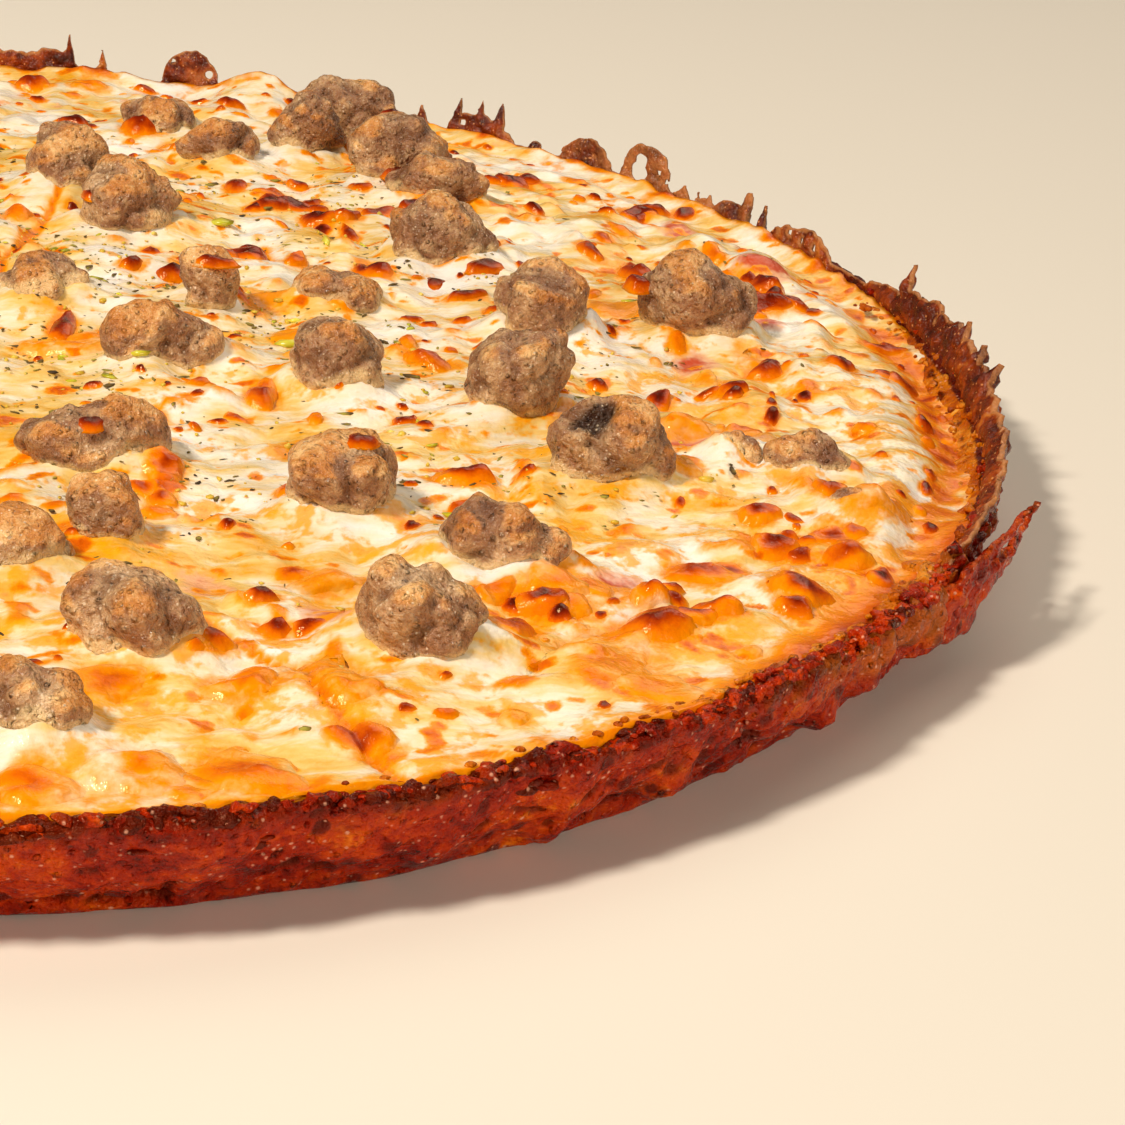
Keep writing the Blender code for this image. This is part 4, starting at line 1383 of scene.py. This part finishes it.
class PIZZA_OT_sausage(bpy.types.Operator):
    """Turns each packed chunk into a lumpy, grainy piece of sausage"""

    bl_idname = "pizza.sausage"
    bl_label = "Sausage"

    def execute(self, context):
        sizes = context.scene.pizza_sausage
        finish = cooked_sausage()
        for first in range(0, len(CHUNKS), CHUNKS_A_PIECE):
            names = CHUNKS[first : first + CHUNKS_A_PIECE]
            bm = bmesh.new()
            for name in names:
                bm.from_mesh(self.chunk(name, sizes))
            mesh = finished_mesh(f"sausage_chunks_{first // CHUNKS_A_PIECE + 1}", bm)
            add_piece(mesh.name, mesh, "sausage", finish, *names)
        return {"FINISHED"}

    def chunk(self, name, sizes):
        """One chunk as a fine mesh, with the values its material reads."""
        bm = bmesh.new()
        bm.from_mesh(frame["nodes"][name].data)
        bmesh.ops.remove_doubles(bm, verts=bm.verts, dist=0.01 * MM)
        coarse = bpy.data.objects.new(name + "_coarse", finished_mesh(name, bm))
        bpy.context.scene.collection.objects.link(coarse)
        rounded = coarse.modifiers.new("rounded", "SUBSURF")
        rounded.levels = rounded.render_levels = 3
        graph = bpy.context.evaluated_depsgraph_get()
        mesh = bpy.data.meshes.new_from_object(coarse.evaluated_get(graph))
        bpy.data.objects.remove(coarse)
        points, normals = mesh_points(mesh), mesh_normals(mesh)
        low, high = points.min(0), points.max(0)
        middle = (low + high) / 2
        points = middle + (points - middle) * CHUNK_SWELL
        bend = np.stack([noise_at(points, 7 * MM, shift) for shift in (3.0, 17.0, 29.0)], 1)
        lobes = np.minimum(2.0 * np.abs(noise_at(points + 2 * MM * bend, 8 * MM, 37.0)), 1.0)
        knobs = np.minimum(2.0 * np.abs(noise_at(points + 1 * MM * bend, 4.6 * MM, 73.0)), 1.0)
        grain = noise_at(points, 1.2 * MM, 67.0)
        relief = 0.95 * (lobes - 0.45) + 0.35 * (knobs - 0.45) + 0.32 * noise_at(points, 2.6 * MM, 53.0)
        reach = min((high - low)[:2].max() / (16 * MM), 1) * 1.5 * MM
        points = points + reach * bend + normals * (sizes.lump * relief + sizes.grain * grain)[:, None]
        char = 1 - step(0.4, 1.1, np.hypot(*((points[:, :2] - CHAR_PLACE) / CHAR_HALVES).T))
        points -= normals * (CHAR_DEPTH * char * step(0, 0.5, normals[:, 2]))[:, None]
        set_points(mesh, points)
        cover = points[:, 2] - cheese_height(points[:, 0], points[:, 1])
        up = mesh_normals(mesh)[:, 2]
        drape = 0.5 + 0.9 * np.maximum(noise_at(points, 7 * MM, 87.0) + 0.2, 0)
        add_values(mesh, "film", 1 - step(0.1 * MM, 3.6 * MM, cover / drape))
        # Upward-facing ridges, which the material makes lighter tan: partly toasting, partly painted light
        add_values(mesh, "toast", step(-0.1, 0.8, up) * step(-0.3, 0.35, relief))
        add_values(mesh, "char", char)
        # Recesses and downward faces, which the material darkens as painted shade
        add_values(mesh, "hollow", np.clip(step(-0.12, -0.5, relief) + 0.5 * step(0.0, -0.7, up), 0, 1))
        return mesh


# ---------------- the seasoning


class PIZZA_OT_seasoning(bpy.types.Operator):
    """Scatters the herb flecks, the yellow grains and the bits of pepper"""

    bl_idname = "pizza.seasoning"
    bl_label = "Seasoning"

    def execute(self, context):
        numbers = context.scene.pizza_seasoning
        self.scatter("herb_flecks", numbers.flecks, (0.40, 0.17, 0.07), dried_herb(), 3)
        self.scatter("seasoning_grains", numbers.grains, (0.27, 0.22, 0.16), seasoning_grain(), 4)
        self.scatter("pepper_bits", numbers.bits, (0.85, 0.45, 0.22), chopped_pepper(), 5)
        return {"FINISHED"}

    def scatter(self, name, count, halves, finish, seed):
        """Small closed lumps of the given half sizes in mm, laid on the cheese at random."""
        rng = np.random.default_rng(seed)
        template = bmesh.new()
        bmesh.ops.create_icosphere(template, subdivisions=1, radius=1)
        mesh = copies(name, template, count)
        unit = mesh_points(mesh).reshape(count, -1, 3)
        distance = (RADIUS - 9 * MM) * np.sqrt(rng.random(4 * count)) ** 1.15
        bearing = rng.uniform(-math.pi, math.pi, 4 * count)
        x, y = distance * np.cos(bearing), distance * np.sin(bearing)
        clumped = flat_noise(x, y, 28 * MM, 47.0) + 0.35 * rng.standard_normal(4 * count)
        clumped -= 0.8 * step(0.5 * RADIUS, 0.9 * RADIUS, distance)
        clumped[chunk_distance(x, y) < 0] = -9
        order = np.argsort(-clumped)[:count]
        x, y = x[order], y[order]
        scale = np.exp(rng.normal(0, 0.45, (count, 1))) * np.exp(rng.normal(0, 0.25, (count, 3)))
        scale *= np.array(halves) * MM
        turn = rng.uniform(0, 2 * math.pi, count)[:, None]
        body = unit * (1 + 0.25 * rng.standard_normal(unit.shape)) * scale[:, None, :]
        across = body[:, :, 0] * np.cos(turn) - body[:, :, 1] * np.sin(turn)
        along = body[:, :, 0] * np.sin(turn) + body[:, :, 1] * np.cos(turn)
        z = cheese_height(x, y)[:, None] + body[:, :, 2] + 0.05 * MM
        set_points(mesh, np.stack([x[:, None] + across, y[:, None] + along, z], 2).reshape(-1, 3))
        add_piece(name, mesh, "cheese", finish)


# ---------------- the stage

# The camera stands this many pizza radii from the middle of the underside, then turns away from it
CAMERA_DISTANCE = 2.39
CAMERA_ELEVATION = 20.0
CAMERA_PAN = 14.36
CAMERA_TILT = 3.86
CAMERA_ROLL = -1.46
CAMERA_LENS = 76.5
# Each light's name, its place and the width of its disk in metres
LIGHTS = (
    ("key", (-0.56, -0.28, 0.81), 0.16),
    ("fill", (0.45, 0.55, 0.75), 0.9),
    ("front", (0.45, -1.1, 0.42), 0.6),
)
SKY_STRENGTH = 0.09
FLOOR_HALF = 6.0
# The floor lies this far under the pizza, so that the two don't flicker through each other
FLOOR_DROP = 0.2 * MM


class PIZZA_OT_stage(bpy.types.Operator):
    """Sets up the floor, the lights and the camera"""

    bl_idname = "pizza.stage"
    bl_label = "Stage"

    def execute(self, context):
        settings = context.scene.pizza_stage
        self.floor(settings.floor)
        for name, place, size in LIGHTS:
            self.light(name, place, size, getattr(settings, name + "_power"))
        world = bpy.data.worlds.new("studio")
        context.scene.world = world
        world.use_nodes = True
        sky = world.node_tree.nodes["Background"].inputs
        sky["Color"].default_value = linear("FFF2DC")
        sky["Strength"].default_value = SKY_STRENGTH
        context.scene.view_settings.view_transform = "Standard"
        self.camera(context)
        return {"FINISHED"}

    def floor(self, colour):
        bm = bmesh.new()
        bmesh.ops.create_grid(bm, x_segments=1, y_segments=1, size=FLOOR_HALF)
        mesh = finished_mesh("floor", bm)
        mesh.materials.append(new_material("floor_paper", {"Base Color": colour, "Roughness": 0.8})[0])
        floor = bpy.data.objects.new("floor", mesh)
        floor.location.z = -FLOOR_DROP
        bpy.context.scene.collection.objects.link(floor)

    def light(self, name, place, size, power):
        lamp = bpy.data.lights.new(name, "AREA")
        lamp.shape = "DISK"
        lamp.size = size
        lamp.energy = power
        lamp.color = linear("FFF2E0")[:3]
        light = bpy.data.objects.new(name, lamp)
        light.location = place
        light.rotation_euler = (-Vector(place)).to_track_quat("-Z", "Y").to_euler()
        bpy.context.scene.collection.objects.link(light)

    def camera(self, context):
        camera = bpy.data.objects.new("camera", bpy.data.cameras.new("camera"))
        camera.data.lens = CAMERA_LENS
        camera.data.clip_start = 0.01
        elevation = math.radians(CAMERA_ELEVATION)
        turn = Matrix.Rotation(math.pi / 2 - elevation, 4, "X")
        turn = turn @ Matrix.Rotation(math.radians(-CAMERA_PAN), 4, "Y")
        turn = turn @ Matrix.Rotation(math.radians(-CAMERA_TILT), 4, "X")
        turn = turn @ Matrix.Rotation(math.radians(-CAMERA_ROLL), 4, "Z")
        back = Vector((0, -math.cos(elevation), math.sin(elevation)))
        camera.matrix_world = Matrix.Translation(back * CAMERA_DISTANCE * RADIUS) @ turn
        context.scene.collection.objects.link(camera)
        context.scene.camera = camera


# ---------------- the add-on

GROUPS = {
    "pizza_cheese": PizzaCheese,
    "pizza_crust": PizzaCrust,
    "pizza_sausage": PizzaSausage,
    "pizza_seasoning": PizzaSeasoning,
    "pizza_stage": PizzaStage,
}
OPERATORS = (
    PIZZA_OT_crust, PIZZA_OT_crumbs, PIZZA_OT_cheese, PIZZA_OT_sausage,
    PIZZA_OT_blisters, PIZZA_OT_lace, PIZZA_OT_seasoning, PIZZA_OT_stage,
)


class PIZZA_PT_panel(bpy.types.Panel):
    """Lists the pieces and their sizes in the sidebar"""

    bl_idname = "PIZZA_PT_panel"
    bl_label = "Pan Pizza"
    bl_space_type = "VIEW_3D"
    bl_region_type = "UI"
    bl_category = "Pizza"

    def draw(self, context):
        for name, group in GROUPS.items():
            box = self.layout.box()
            for field in group.__annotations__:
                box.prop(getattr(context.scene, name), field)
        for operator in OPERATORS:
            self.layout.operator(operator.bl_idname)


def register():
    for name, group in GROUPS.items():
        bpy.utils.register_class(group)
        setattr(bpy.types.Scene, name, PointerProperty(type=group))
    for shown in (*OPERATORS, PIZZA_PT_panel):
        bpy.utils.register_class(shown)


def unregister():
    for shown in (*OPERATORS, PIZZA_PT_panel):
        bpy.utils.unregister_class(shown)
    for name, group in GROUPS.items():
        delattr(bpy.types.Scene, name)
        bpy.utils.unregister_class(group)


def main():
    register()
    melted_mozzarella()
    caramelised_crust()
    fried_cheese_lace()
    for make in (bpy.ops.pizza.crust, bpy.ops.pizza.crumbs, bpy.ops.pizza.cheese, bpy.ops.pizza.sausage,
                 bpy.ops.pizza.blisters, bpy.ops.pizza.lace, bpy.ops.pizza.seasoning, bpy.ops.pizza.stage):
        make()


if __name__ == "__main__":
    main()
